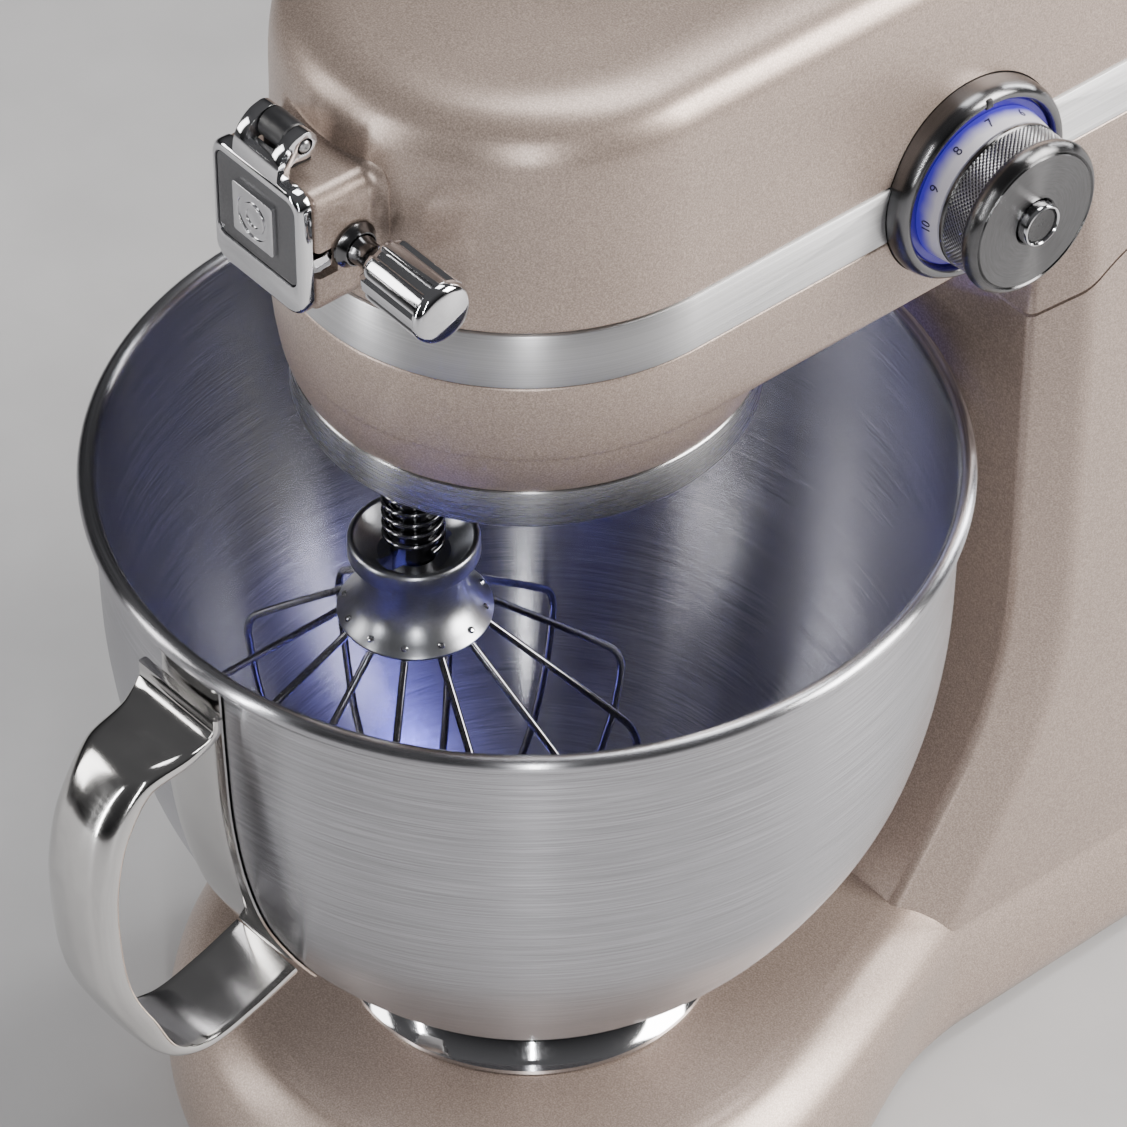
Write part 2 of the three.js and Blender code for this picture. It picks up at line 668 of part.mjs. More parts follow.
function gearboxFrame() {
  const plate = raised(mirrored([
    ...arc([0, 0], 54, -90, 0, 10),
    [54, 58],
    [40, 58],
    [40, 100],
  ]), frameZ, frameZ + 5);
  const boss = rod(15, frameZ + 4, frameZ + 18, MEDIUM);
  // The bowl light shines down through the rear of the plate.
  return plate.add(boss).subtract(rod(7 + GAP, 270, 310, MEDIUM))
    .subtract(rod(9 + 2 * GAP, 270, 290, MEDIUM).translate([0, 90, 0]));
}

addPart('gearbox_frame', gearboxFrame(), satinGrey);

function hingeYoke() {
  const arm = across(yokeArm(0), -yokeHalfWidth, yokeHalfWidth);
  const eye = rod(18, -yokeHalfWidth, yokeHalfWidth, MEDIUM, 'x').translate([0, PIVOT.y, PIVOT.z]);
  const plate = box(-27, 27, 101, 150, frameZ, frameZ + 8);
  const clipped = joined(arm, plate).subtract(box(-60, 60, 90, 170, frameZ + 8, 330));
  return clipped.add(eye).subtract(rod(pinRadius + 0.25, -40, 40, MEDIUM, 'x').translate([0, PIVOT.y, PIVOT.z]));
}

addPart('hinge_yoke', hingeYoke(), satinGrey);

const ringPitchRadius = (PLANET_ARM * RING_TEETH) / (RING_TEETH - PLANET_TEETH);
const planetPitchRadius = ringPitchRadius - PLANET_ARM;
const toothReach = 1.9;

function ringGear() {
  const teeth = toothed(
    RING_TEETH,
    ringPitchRadius + 2.4,
    ringPitchRadius - toothReach,
    0.6,
    0.26,
    -90,
  );
  return raised(circle(ringBore - GAP, LARGE), 263, 274, teeth);
}

addPart('planetary_ring_gear', ringGear(), machinedSteel);

function planetPinion() {
  // The pinion's gap faces a tooth of the ring at the front.
  const turn = -90 + 180 / PLANET_TEETH;
  const teeth = toothed(PLANET_TEETH, planetPitchRadius - 2.5, planetPitchRadius + toothReach, 0.6, 0.26, turn);
  return raised(teeth, 263.5, 273.5, circle(6, SMALL)).translate([0, -PLANET_ARM, 0]);
}

addPart('planet_pinion', planetPinion(), machinedSteel);

const carrierZ = RIM_Z + 28.5;

function carrier() {
  const disc = turned([
    [0, carrierZ - 4], [44, carrierZ - 4], [52.6, carrierZ], [52.6, carrierZ + 9.6], [0, carrierZ + 9.6],
  ], LARGE);
  const hub = rod(13, carrierZ - 8, carrierZ + 1, MEDIUM).translate([0, -PLANET_ARM, 0]);
  return disc.add(hub)
    .subtract(rod(6 + GAP, 230, 270, MEDIUM).translate([0, -PLANET_ARM, 0]))
    .subtract(rod(7 + GAP, carrierZ + 2, 270, MEDIUM));
}

addPart('planetary_carrier', carrier(), darkPlastic);
addPart('main_drive_shaft', rod(7, carrierZ + 2.4, 356, MEDIUM)
  .add(raised(toothed(12, 14, 16.5, 0.6, 0.3), 349.6, 353.6)), machinedSteel);
addPart('main_bevel_gear', raised(
  toothed(22, 33, 36, 0.6, 0.3), 300, 308.5, circle(7 + GAP, MEDIUM),
), machinedSteel);

// A toothed wheel whose axis runs from front to rear.
function gearAlong(teeth, rootRadius, tipRadius, length) {
  const outline = toothed(teeth, rootRadius, tipRadius, 0.6, 0.3);
  const shape = new THREE.Shape(outline.map(([x, y]) => new THREE.Vector2(x, y)));
  const geometry = new THREE.ExtrudeGeometry(shape, { depth: length, bevelEnabled: false });
  geometry.rotateX(-Math.PI / 2);
  return solid(geometry);
}

addPart('motor_bevel_pinion', gearAlong(8, 8, 10.6, 12)
  .subtract(rod(4 + GAP, -5, 20, SMALL, 'y')).translate([0, 22, MOTOR_Z]), machinedSteel);

addPart('motor_armature', turned([
  [0, 21], [4, 21], [4, 128], [26, 128], [26, 172], [4, 172], [4, 194], [0, 194],
], MEDIUM, 'y').translate([0, 0, MOTOR_Z]), machinedSteel);

addPart('motor_housing', turned([
  [4.5, 119], [34, 119], [34, 181], [4.5, 181], [4.5, 176], [29, 176], [29, 124], [4.5, 124],
], MEDIUM, 'y').translate([0, 0, MOTOR_Z]), darkPlastic);

addPart('cooling_fan', gearAlong(9, 12, 30, 7)
  .subtract(rod(4 + GAP, -5, 20, SMALL, 'y')).translate([0, 184, MOTOR_Z]), darkPlastic);

addPart('speed_control_board', box(44, 46, 70, 111, 286, 330)
  .subtract(rod(6, 40, 50, SMALL, 'x').translate([0, DIAL.y, DIAL.z])), darkPlastic);

// ---------------------------------------------------------------- beater drive and whisk

addPart('beater_shaft', turned([
  [0, RIM_Z - 25], [4.6, RIM_Z - 25], [5.7, RIM_Z - 23.5], [5.7, 274.5], [0, 274.5],
], MEDIUM).translate([0, -PLANET_ARM, 0])
  .subtract(rod(2 + 0.1, -20, 20, 12, 'x').translate([0, -PLANET_ARM, RIM_Z - 17])), machinedSteel);

addPart('beater_cross_pin', rod(2, -9.6, 9.6, 12, 'x')
  .translate([0, -PLANET_ARM, RIM_Z - 17]), machinedSteel);

addPart('beater_spring', ring(6.9, 8.5, RIM_Z - 9.6, carrierZ - 8.4, SMALL)
  .translate([0, -PLANET_ARM, 0]), machinedSteel);

function whiskCollar() {
  const cup = turned([
    [14, -7], [16, -7], [16.8, -7.8], [16.8, -12.3], [13.4, -13.8], [13.4, -25.2], [14, -26.4], [19.8, -32.2],
    [11.5, -32.2], [11.5, -14.2], [6.1, -14.2], [6.1, -10], [14, -10],
  ].map(([radius, drop]) => [radius, RIM_Z + drop]), 24);
  // The keyway lets the cross pin through before the collar is turned a quarter.
  const keyway = box(-2.6, 2.6, -11, 11, RIM_Z - 15, RIM_Z - 9);
  return cup.subtract(keyway).translate([0, -PLANET_ARM, 0]);
}

addPart('whisk_collar', whiskCollar(), brushedSteel);

const wireRadius = 1.05;
const whiskLoops = 6;

// Half of one loop, as [radius, height below the rim], from the collar to the bottom.
function loopHalf(bottom) {
  const start = [17, -33.4];
  const bend = 12;
  const shoulder = [WHISK_RADIUS - bend, -73.6];
  return [
    start,
    [30, -44.6],
    [42, -54.9],
    ...arc(shoulder, bend, 50, -10, 4).map(([r, z]) => [r - wireRadius, z]),
    [54, -92],
    [45.5, -115],
    [27.5, bottom + 13.5],
    [14, bottom + 2],
  ];
}

for (let i = 0; i < whiskLoops; i += 1) {
  const half = loopHalf(-157 + 3 * i);
  const direction = radians((i * 180) / whiskLoops + 12.5);
  const bottom = [0, -157 + 3 * i];
  const other = half.map(([radius, z]) => [-radius, z]).reverse();
  const path = new THREE.CatmullRomCurve3([...half, bottom, ...other].map(([radius, z]) => {
    return new THREE.Vector3(radius * Math.cos(direction), radius * Math.sin(direction), z);
  }));
  const section = new THREE.Shape(circle(wireRadius, 5).map(([x, y]) => new THREE.Vector2(x, y)));
  const wire = new THREE.ExtrudeGeometry(section, { steps: 36, bevelEnabled: false, extrudePath: path });
  wire.translate(0, -PLANET_ARM, RIM_Z);
  addPart(`whisk_loop_${i + 1}`, solid(wire), brushedSteel);
}

// ---------------------------------------------------------------- front drive hub

addPart('hub_socket', turned([
  [9, bossFrontY], [15, bossFrontY], [15, -46], [7, -46], [7, -48], [9, -48],
], MEDIUM, 'y').translate([0, 0, HUB_Z]), machinedSteel);

addPart('hub_drive_shaft', turned([
  [0, -56], [5, -56], [5, -10], [0, -10],
], MEDIUM, 'y').add(gearAlong(8, 6.6, 8.2, 5).translate([0, -16, 0])).translate([0, 0, HUB_Z]), machinedSteel);

const coverHinge = { y: -73.1, z: RIM_Z + 141.1 };
const coverFrontY = -82;
const coverBackY = bossFrontY - 0.4;
const coverHalfWidth = 16.9;
const coverLowZ = RIM_Z + 97.8;
const coverTopZ = RIM_Z + 134.3;
const barrelHalf = 4.6;
const armOutside = 8.4;

// A plate with a swan neck that splits into two eyes round the hinge barrel.
function hubCover() {
  const plate = along(roundedRectangle(coverHalfWidth, coverLowZ, coverTopZ, 4, 3), coverFrontY, coverBackY);
  const recess = box(-15.2, 15.2, coverFrontY - 1, coverFrontY + 1.4, RIM_Z + 106.2, RIM_Z + 131.7);
  const neck = [
    [coverHinge.y, coverHinge.z + 3.8], [-76.2, RIM_Z + 144.1], [-79.4, RIM_Z + 141.6], [-81.4, RIM_Z + 138],
    [coverFrontY, coverTopZ - 0.6], [coverFrontY, coverTopZ - 3], [coverBackY, coverTopZ - 3],
    [coverBackY, coverTopZ + 1], [-77, RIM_Z + 137.4], [coverHinge.y, coverHinge.z - 3.8],
  ];
  const eye = rod(3.8, -armOutside, armOutside, SMALL, 'x').translate([0, coverHinge.y, coverHinge.z]);
  const slotHalf = barrelHalf + GAP;
  const slot = box(-slotHalf, slotHalf, coverFrontY - 1, coverHinge.y + 5, RIM_Z + 136.4, RIM_Z + 150);
  const pinHole = rod(1.6 + GAP, -20, 20, SMALL, 'x').translate([0, coverHinge.y, coverHinge.z]);
  const arms = eye.add(across(neck, -armOutside, armOutside)).subtract(slot);
  return joined(plate, arms).subtract(recess).subtract(pinHole);
}

addPart('hub_cover', hubCover(), chrome);
addPart('hub_cover_inset', along(
  roundedRectangle(14.8, RIM_Z + 106.6, RIM_Z + 131.3, 1.4, 2), coverFrontY + 0.3, coverFrontY + 1.1,
), satinGrey);
addPart('hub_cover_badge', along(
  roundedRectangle(7.5, RIM_Z + 112, RIM_Z + 126.6, 0.8, 2), coverFrontY - 0.9, coverFrontY,
), chrome);

function hubHingeBarrel() {
  const tube = ring(1.6 + GAP, 4, -barrelHalf, barrelHalf, SMALL, 'x').translate([0, coverHinge.y, coverHinge.z]);
  const bore = rod(3, -20, 20, SMALL, 'x').translate([0, coverHinge.y, coverHinge.z]);
  const block = box(-barrelHalf, barrelHalf, -75.4, -68.5, RIM_Z + 132.6 + GAP, coverHinge.z);
  return tube.add(block.subtract(bore));
}

addPart('hub_hinge_barrel', hubHingeBarrel(), darkPlastic);

addPart('hub_hinge_pin', rod(1.6, -8.8, 8.8, SMALL, 'x')
  .translate([0, coverHinge.y, coverHinge.z]), machinedSteel);

addPart('thumb_screw_stem', turned([
  [0, 15.8], [4, 15.8], [4, 24], [4.8, 26.4], [4.8, 28.6], [0, 28.6],
], SMALL, 'x').translate([0, THUMB_Y, HUB_Z - 0.5]), darkChrome);

addPart('thumb_screw_washer', turned([
  [4 + GAP, 17.9], [6.2, 17.9], [6.2, 18.8], [5, 20.8], [4 + GAP, 20.8],
], SMALL, 'x')
  .translate([0, THUMB_Y, HUB_Z - 0.5]), darkChrome);

function thumbKnob() {
  const flutes = new THREE.ExtrudeGeometry(
    new THREE.Shape(toothed(8, 7.2, 8.25, 0.5, 0.5).map(([x, y]) => new THREE.Vector2(x, y))),
    { depth: 22.4, bevelEnabled: false },
  ).rotateY(Math.PI / 2);
  const grip = solid(flutes).translate([28.9, 0, 0]);
  const nose = turned([[0, 51.2], [8.1, 51.2], [6.4, 52.6], [0, 53.4]], MEDIUM, 'x');
  return grip.add(nose).translate([0, THUMB_Y, HUB_Z - 0.5]);
}

addPart('thumb_screw_knob', thumbKnob(), chrome);

// ---------------------------------------------------------------- speed dial

function onDial(profile, segments) {
  return turned(profile, segments, 'x').translate([0, DIAL.y, DIAL.z]);
}

addPart('dial_bezel', onDial([
  [5.4, 58], [27.7, 58], [27.7, 66.4], [26.9, 68.5], [25.4, 69.4], [24.2, 69], [23.8, 65.6], [5.4, 65.6],
], LARGE), darkChrome);
addPart('dial_glow_ring', onDial([[19.6, 66], [23.5, 66], [23.5, 67.4], [19.6, 67.4]], LARGE), blueGlow);
addPart('dial_number_ring', onDial([
  [5.4, 67.8], [21.4, 67.8], [20.4, 74.2], [5.4, 74.2],
], LARGE), paleRing);

const dialFaceX = 87.6;

function dialKnob() {
  const knurl = new THREE.ExtrudeGeometry(
    new THREE.Shape(toothed(20, 19.3, 20, 0.6, 0.3).map(([x, y]) => new THREE.Vector2(x, y))),
    { depth: 8.4, bevelEnabled: false },
  ).rotateY(Math.PI / 2);
  const grip = solid(knurl).translate([74.6, 0, 0]);
  const nose = turned([
    [0, 82.6], [20.2, 82.6], [21.2, 84.6], [21.2, 85.8], [19.4, dialFaceX], [0, dialFaceX],
  ], LARGE, 'x');
  const shaft = rod(5, 47, 76, SMALL, 'x');
  const well = rod(6.2, 82, 92, MEDIUM, 'x');
  return joined(grip, nose, shaft).subtract(well).translate([0, DIAL.y, DIAL.z]);
}

addPart('dial_knob', dialKnob(), brushedSteel);
addPart('pulse_button', onDial([[0, 84.2], [5.9, 84.2], [5.9, 89.4], [5.2, 90.2], [0, 90]], MEDIUM), darkChrome);

export default new THREE.Group().add(body);
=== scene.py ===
# The finished look of the tilt-head stand mixer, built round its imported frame.
# Shapes are worked out in millimetres from the bowl's axis and above the counter, and shape()
# turns them into metres in the frame.
import json
import math

import bmesh
import bpy
from mathutils import Matrix, Vector


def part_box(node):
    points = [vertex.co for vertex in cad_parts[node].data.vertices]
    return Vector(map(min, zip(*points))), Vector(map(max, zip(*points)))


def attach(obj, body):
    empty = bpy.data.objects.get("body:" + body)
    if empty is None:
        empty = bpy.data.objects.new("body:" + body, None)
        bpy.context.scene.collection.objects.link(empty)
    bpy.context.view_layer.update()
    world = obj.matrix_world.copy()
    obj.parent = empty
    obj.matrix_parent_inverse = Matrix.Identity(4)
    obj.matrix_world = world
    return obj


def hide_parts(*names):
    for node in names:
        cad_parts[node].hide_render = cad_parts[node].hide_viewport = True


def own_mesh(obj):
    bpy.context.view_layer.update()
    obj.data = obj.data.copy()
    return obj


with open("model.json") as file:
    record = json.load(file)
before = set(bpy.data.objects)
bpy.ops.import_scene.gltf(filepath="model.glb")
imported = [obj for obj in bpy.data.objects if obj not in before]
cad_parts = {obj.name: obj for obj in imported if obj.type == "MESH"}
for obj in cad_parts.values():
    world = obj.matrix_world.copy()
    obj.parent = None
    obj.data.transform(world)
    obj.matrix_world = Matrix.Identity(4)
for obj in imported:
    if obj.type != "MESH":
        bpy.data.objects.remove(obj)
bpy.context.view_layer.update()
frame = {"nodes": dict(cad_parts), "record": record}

# ---------------- dimensions from the frame


def millimetres(node):
    low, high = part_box(node)
    return low * 1000, high * 1000


bowl_low, bowl_high = millimetres("bowl_shell")
AXIS_Y = (bowl_low.y + bowl_high.y) / 2
RIM_Z = bowl_high.z
RIM_RADIUS = bowl_high.x
BOWL_BOTTOM = bowl_low.z
BAND_LOW, BAND_TOP = (corner.z for corner in millimetres("trim_band"))
HEAD_TOP = millimetres("head_upper_shell")[1].z
HEAD_REAR = millimetres("head_lower_shell")[1].y - AXIS_Y
HEAD_HALF_WIDTH = 64
HEAD_FLOOR = 272
REAR_CORNER = 36
SHELL = 3.6
SEAT_Z = 46
PLANET_ARM = 37
PIVOT_Y, PIVOT_Z = 162, 211
PARTING_Y, PARTING_Z = 121, RIM_Z + 12.5
PARTING_SLOPE = math.radians(42)
KNUCKLE_REACH = (PIVOT_Y - PARTING_Y) * math.sin(PARTING_SLOPE)
KNUCKLE_RADIUS = KNUCKLE_REACH - (PIVOT_Z - PARTING_Z) * math.cos(PARTING_SLOPE)
COLUMN_HALF_WIDTH = 65.4
FACE_HALF_WIDTH = 55
DIAL_Y, DIAL_Z = 88.5, 306
NUMBERS_FOOT, NUMBERS_TOP = 67.8, 74.2
GRIP_RADIUS, GRIP_DEPTH = 20.2, 0.5
HUB_Z = 338
THUMB_Y, THUMB_Z = -67, HUB_Z - 0.5
HINGE_Y, HINGE_Z = -73.1, RIM_Z + 141.1
MIDDLE = (0, 0, 0)
PIVOT = (0, PIVOT_Y, PIVOT_Z)
PLANET = (0, -PLANET_ARM, 0)
DIAL = (0, DIAL_Y, DIAL_Z)
HINGE = (0, HINGE_Y, HINGE_Z)

# ---------------- outlines


def arc(centre, radius, start, end, steps):
    angles = [math.radians(start + (end - start) * i / steps) for i in range(steps + 1)]
    return [(centre[0] + radius * math.cos(a), centre[1] + radius * math.sin(a)) for a in angles]


def mirrored(right):
    return right + [(-x, y) for x, y in reversed(right) if x > 1e-6]


def spline(points, steps):
    """A smooth curve through points, with that many steps between each two."""
    p = [Vector(q) for q in points]
    p = [2 * p[0] - p[1]] + p + [2 * p[-1] - p[-2]]
    curve = []
    for i in range(1, len(p) - 2):
        t = [0.0]
        for a, b in zip(p[i - 1 : i + 2], p[i : i + 3]):
            t.append(t[-1] + max((b - a).length, 1e-6) ** 0.5)
        for k in range(steps):
            u = t[1] + (t[2] - t[1]) * k / steps
            a1 = ((t[1] - u) * p[i - 1] + (u - t[0]) * p[i]) / (t[1] - t[0])
            a2 = ((t[2] - u) * p[i] + (u - t[1]) * p[i + 1]) / (t[2] - t[1])
            a3 = ((t[3] - u) * p[i + 1] + (u - t[2]) * p[i + 2]) / (t[3] - t[2])
            b1 = ((t[2] - u) * a1 + (u - t[0]) * a2) / (t[2] - t[0])
            b2 = ((t[3] - u) * a2 + (u - t[1]) * a3) / (t[3] - t[1])
            curve.append(((t[2] - u) * b1 + (u - t[1]) * b2) / (t[2] - t[1]))
    curve.append(p[-2])
    return curve


def rounded(corners, radii, steps):
    """A polygon with each corner rounded to its own radius."""
    outline = []
    for i, corner in enumerate(corners):
        p = Vector(corner)
        u = (Vector(corners[i - 1]) - p).normalized()
        v = (Vector(corners[(i + 1) % len(corners)]) - p).normalized()
        half = u.angle(v) / 2
        start = p + u * radii[i] / math.tan(half)
        end = p + v * radii[i] / math.tan(half)
        centre = p + (u + v).normalized() * radii[i] / math.sin(half)
        sweep = math.pi - 2 * half
        for k in range(steps + 1):
            t = k / steps
            near = math.sin((1 - t) * sweep) * (start - centre)
            far = math.sin(t * sweep) * (end - centre)
            outline.append(tuple(centre + (near + far) / math.sin(sweep)))
    return outline


def rounded_box(half_width, low, high, radius, steps=8):
    corners = [(-half_width, low), (half_width, low), (half_width, high), (-half_width, high)]
    return rounded(corners, [radius] * 4, steps)


# ---------------- solids


def placed(name, data):
    """A new object in the scene."""
    obj = bpy.data.objects.new(name, data)
    bpy.context.scene.collection.objects.link(obj)
    return obj


def shape(points, faces, count):
    """A mesh object from millimetre points. Every count points are a ring, which the UV map follows."""
    mesh = bpy.data.meshes.new("shape")
    mesh.from_pydata([(x / 1000, (y + AXIS_Y) / 1000, z / 1000) for x, y, z in points], [], faces)
    layer = mesh.uv_layers.new(name="rings")
    for face in mesh.polygons:
        for loop, vertex in zip(face.loop_indices, face.vertices):
            around = vertex % count
            if around == 0 and any(v % count == count - 1 for v in face.vertices):
                around = count
            layer.data[loop].uv = (around / count, vertex // count / 10)
    work = bmesh.new()
    work.from_mesh(mesh)
    bmesh.ops.remove_doubles(work, verts=work.verts, dist=1e-7)
    bmesh.ops.recalc_face_normals(work, faces=work.faces)
    work.to_mesh(mesh)
    work.free()
    return placed("shape", mesh)


def loft(rings, ends="capped"):
    """Walls through rings of points. The two ends are capped, left open, or joined to each other."""
    count = len(rings[0])
    faces = []
    spans = len(rings) if ends == "joined" else len(rings) - 1
    for level in range(spans):
        here, there = level * count, (level + 1) % len(rings) * count
        for i in range(count):
            j = (i + 1) % count
            faces.append((here + i, here + j, there + j, there + i))
    if ends == "capped":
        faces.append(tuple(reversed(range(count))))
        faces.append(tuple(range((len(rings) - 1) * count, len(rings) * count)))
    return shape([point for ring in rings for point in ring], faces, count)


def at_level(outline, z):
    return [(x, y, z) for x, y in outline]


def set_along(axis, a, b, height):
    """The point with this height along an axis, and a and b along the other two in order."""
    return {"x": (height, a, b), "y": (a, height, b), "z": (a, b, height)}[axis]


def lathe(profile, centre=MIDDLE, axis="z", segments=96):
    """A turned solid. A profile that doesn't start on its axis closes into a ring."""
    hand = -1 if axis == "y" else 1
    turns = [2 * math.pi * i / segments for i in range(segments)]
    rings = []
    for r, height in profile:
        ring = [set_along(axis, r * math.cos(a), hand * r * math.sin(a), height) for a in turns]
        rings.append([(x + centre[0], y + centre[1], z + centre[2]) for x, y, z in ring])
    hollow = profile[0][0] > 0
    return loft(rings, "joined" if hollow else "open")


def rod(radius, start, end, centre, axis, segments=48):
    return lathe([(0, start), (radius, start), (radius, end), (0, end)], centre, axis, segments)


def prism(outline, axis, start, end):
    """An outline stretched along an axis. The outline is in the other two axes, in order."""
    return loft([[set_along(axis, a, b, height) for a, b in outline] for height in (start, end)])


def block(x0, x1, y0, y1, z0, z1):
    return prism([(x0, y0), (x1, y0), (x1, y1), (x0, y1)], "z", z0, z1)


def tube(path, radius, sides=14):
    """A round wire along a path of points."""
    path = [Vector(p) for p in path]
    tangents = []
    for i in range(len(path)):
        tangents.append((path[min(i + 1, len(path) - 1)] - path[max(i - 1, 0)]).normalized())
    side = tangents[0].orthogonal().normalized()
    rings = []
    for point, tangent in zip(path, tangents):
        side = (side - tangent * side.dot(tangent)).normalized()
        up = tangent.cross(side)
        ring = []
        for k in range(sides):
            a = 2 * math.pi * k / sides
            ring.append(tuple(point + side * (radius * math.cos(a)) + up * (radius * math.sin(a))))
        rings.append(ring)
    return loft(rings)


def settled(obj):
    """obj with its modifiers made part of its mesh."""
    bpy.context.view_layer.update()
    graph = bpy.context.evaluated_depsgraph_get()
    mesh = bpy.data.meshes.new_from_object(obj.evaluated_get(graph))
    obj.modifiers.clear()
    obj.data = mesh
    return obj


def combined(target, operation, tools):
    for tool in tools:
        modifier = target.modifiers.new("combine", "BOOLEAN")
        modifier.operation = operation
        modifier.solver = "MANIFOLD"
        modifier.object = tool
        settled(target)
        bpy.data.objects.remove(tool)
    return target


def joined(target, *tools):
    return combined(target, "UNION", tools)


def cut(target, *tools):
    return combined(target, "DIFFERENCE", tools)


def common(target, *tools):
    return combined(target, "INTERSECT", tools)


def turned_by(obj, degrees):
    """obj turned about the bowl's axis."""
    centre = Matrix.Translation((0, AXIS_Y / 1000, 0))
    obj.data.transform(centre @ Matrix.Rotation(math.radians(degrees), 4, "Z") @ centre.inverted())
    return obj


def piece(obj, name, body, look, replaces=(), smooth=32, bevel=0.0):
    """Names and finishes a piece, and puts it on its body."""
    if bevel:
        modifier = obj.modifiers.new("edges", "BEVEL")
        modifier.width = bevel / 1000
        modifier.segments = 3
        modifier.limit_method = "ANGLE"
        modifier.angle_limit = math.radians(35)
        settled(obj)
    obj.name = name
    obj.data.name = name
    obj.data.polygons.foreach_set("use_smooth", [True] * len(obj.data.polygons))
    obj.data.set_sharp_from_angle(angle=math.radians(smooth))
    obj.data.materials.clear()
    obj.data.materials.append(look)
    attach(obj, body)
    if replaces:
        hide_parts(*replaces)
    return obj


# ---------------- materials


class Look:
    """A Principled material and the nodes that vary it."""

    def __init__(self, name, colour, **sockets):
        self.material = bpy.data.materials.new(name)
        self.material.use_nodes = True
        self.tree = self.material.node_tree
        self.shader = self.tree.nodes["Principled BSDF"]
        self.shader.inputs["Base Color"].default_value = (*colour, 1)
        for socket, value in sockets.items():
            self.shader.inputs[socket.replace("_", " ").title()].default_value = value

    def node(self, kind, inputs=None, **settings):
        node = self.tree.nodes.new(kind)
        for key, value in settings.items():
            setattr(node, key, value)
        for key, value in (inputs or {}).items():
            if isinstance(value, bpy.types.NodeSocket):
                self.tree.links.new(value, node.inputs[key])
            else:
                node.inputs[key].default_value = value
        return node

    def link(self, output, socket):
        self.tree.links.new(output, self.shader.inputs[socket])

    def place(self, scale=(1, 1, 1), centre=MIDDLE):
        """Object coordinates about a centre in millimetres, stretched by scale."""
        coordinates = self.node("ShaderNodeTexCoord").outputs["Object"]
        centre = (centre[0] / 1000, (centre[1] + AXIS_Y) / 1000, centre[2] / 1000)
        moved = self.node(
            "ShaderNodeVectorMath", {0: coordinates, 1: centre}, operation="SUBTRACT",
        ).outputs[0]
        return self.node("ShaderNodeVectorMath", {0: moved, 1: scale}, operation="MULTIPLY").outputs[0]

    def polar(self, axis, centre):
        """Object coordinates about an axis: the flat part, its length, and the part along the axis."""
        parts = self.node("ShaderNodeSeparateXYZ", {0: self.place((1, 1, 1), centre)}).outputs
        first, second, along = (parts[i] for i in {"X": (1, 2, 0), "Z": (0, 1, 2)}[axis])
        flat = self.node("ShaderNodeCombineXYZ", {"X": first, "Y": second}).outputs[0]
        radius = self.node("ShaderNodeVectorMath", {0: flat}, operation="LENGTH").outputs["Value"]
        return flat, radius, along

    def noise(self, vector, scale=1.0, detail=2.0, roughness=0.5):
        inputs = {"Vector": vector, "Scale": scale, "Detail": detail, "Roughness": roughness}
        return self.node("ShaderNodeTexNoise", inputs).outputs[0]

    def range(self, value, low, high, start=0.3, end=0.7):
        inputs = {"Value": value, "From Min": start, "From Max": end, "To Min": low, "To Max": high}
        return self.node("ShaderNodeMapRange", inputs).outputs[0]

    def ramp(self, value, stops):
        ramp = self.node("ShaderNodeValToRGB", {"Fac": value})
        elements = ramp.color_ramp.elements
        while len(elements) < len(stops):
            elements.new(0.5)
        for element, (position, colour) in zip(elements, stops):
            element.position = position
            element.color = (*colour, 1)
        return ramp.outputs[0]

    def calculate(self, operation, first, second):
        return self.node("ShaderNodeMath", {0: first, 1: second}, operation=operation).outputs[0]

    def vary(self, value, colour, dark, light, socket="Base Color"):
        """A socket's colour goes from dark to light times a colour as value rises."""
        self.link(self.ramp(value, [(0.3, shaded(colour, dark)), (0.7, shaded(colour, light))]), socket)

    def bump(self, height, strength, distance):
        inputs = {"Height": height, "Strength": strength, "Distance": distance / 1000}
        self.link(self.node("ShaderNodeBump", inputs).outputs[0], "Normal")


def shaded(colour, factor):
    return tuple(min(1.0, c * factor) for c in colour)


def painted():
    colour = (0.4, 0.315, 0.268)
    look = Look(
        "metallic_paint", colour, metallic=0.55, roughness=0.36, coat_weight=0.25, coat_roughness=0.22,
    )
    grain = look.noise(look.place(), 2300, 2, 0.6)
    cloud = look.noise(look.place(), 11, 3)
    mixed = look.calculate("ADD", grain, look.range(cloud, -0.03, 0.03))
    stops = [(0.32, shaded(colour, 0.72)), (0.5, colour), (0.68, shaded(colour, 1.34))]
    look.link(look.ramp(mixed, stops), "Base Color")
    look.link(look.range(cloud, 0.33, 0.41), "Roughness")
    look.bump(grain, 0.1, 0.05)
    return look.material


def steel(name, colour, roughness, anisotropic):
    """Brushing runs round the piece's rings."""
    look = Look(name, colour, metallic=1.0, roughness=roughness, anisotropic=anisotropic)
    look.shader.inputs["Anisotropic Rotation"].default_value = 0.25
    tangent = look.node("ShaderNodeTangent", direction_type="UV_MAP", uv_map="rings")
    look.link(tangent.outputs[0], "Tangent")
    return look


def brushed(name, colour, scale, roughness=0.3, anisotropic=0.6, contrast=0.16, centre=MIDDLE):
    """Steel brushed along straight level lines."""
    look = steel(name, colour, roughness, anisotropic)
    streak = look.noise(look.place(scale, centre), 1, 3, 0.7)
    cloud = look.noise(look.place(), 14, 3)
    look.vary(streak, colour, 1 - contrast, 1 + contrast)
    fine = look.range(streak, -0.05, 0.05)
    broad = look.range(cloud, roughness - 0.03, roughness + 0.04)
    look.link(look.calculate("ADD", fine, broad), "Roughness")
    look.bump(streak, 0.1, 0.03)
    return look.material


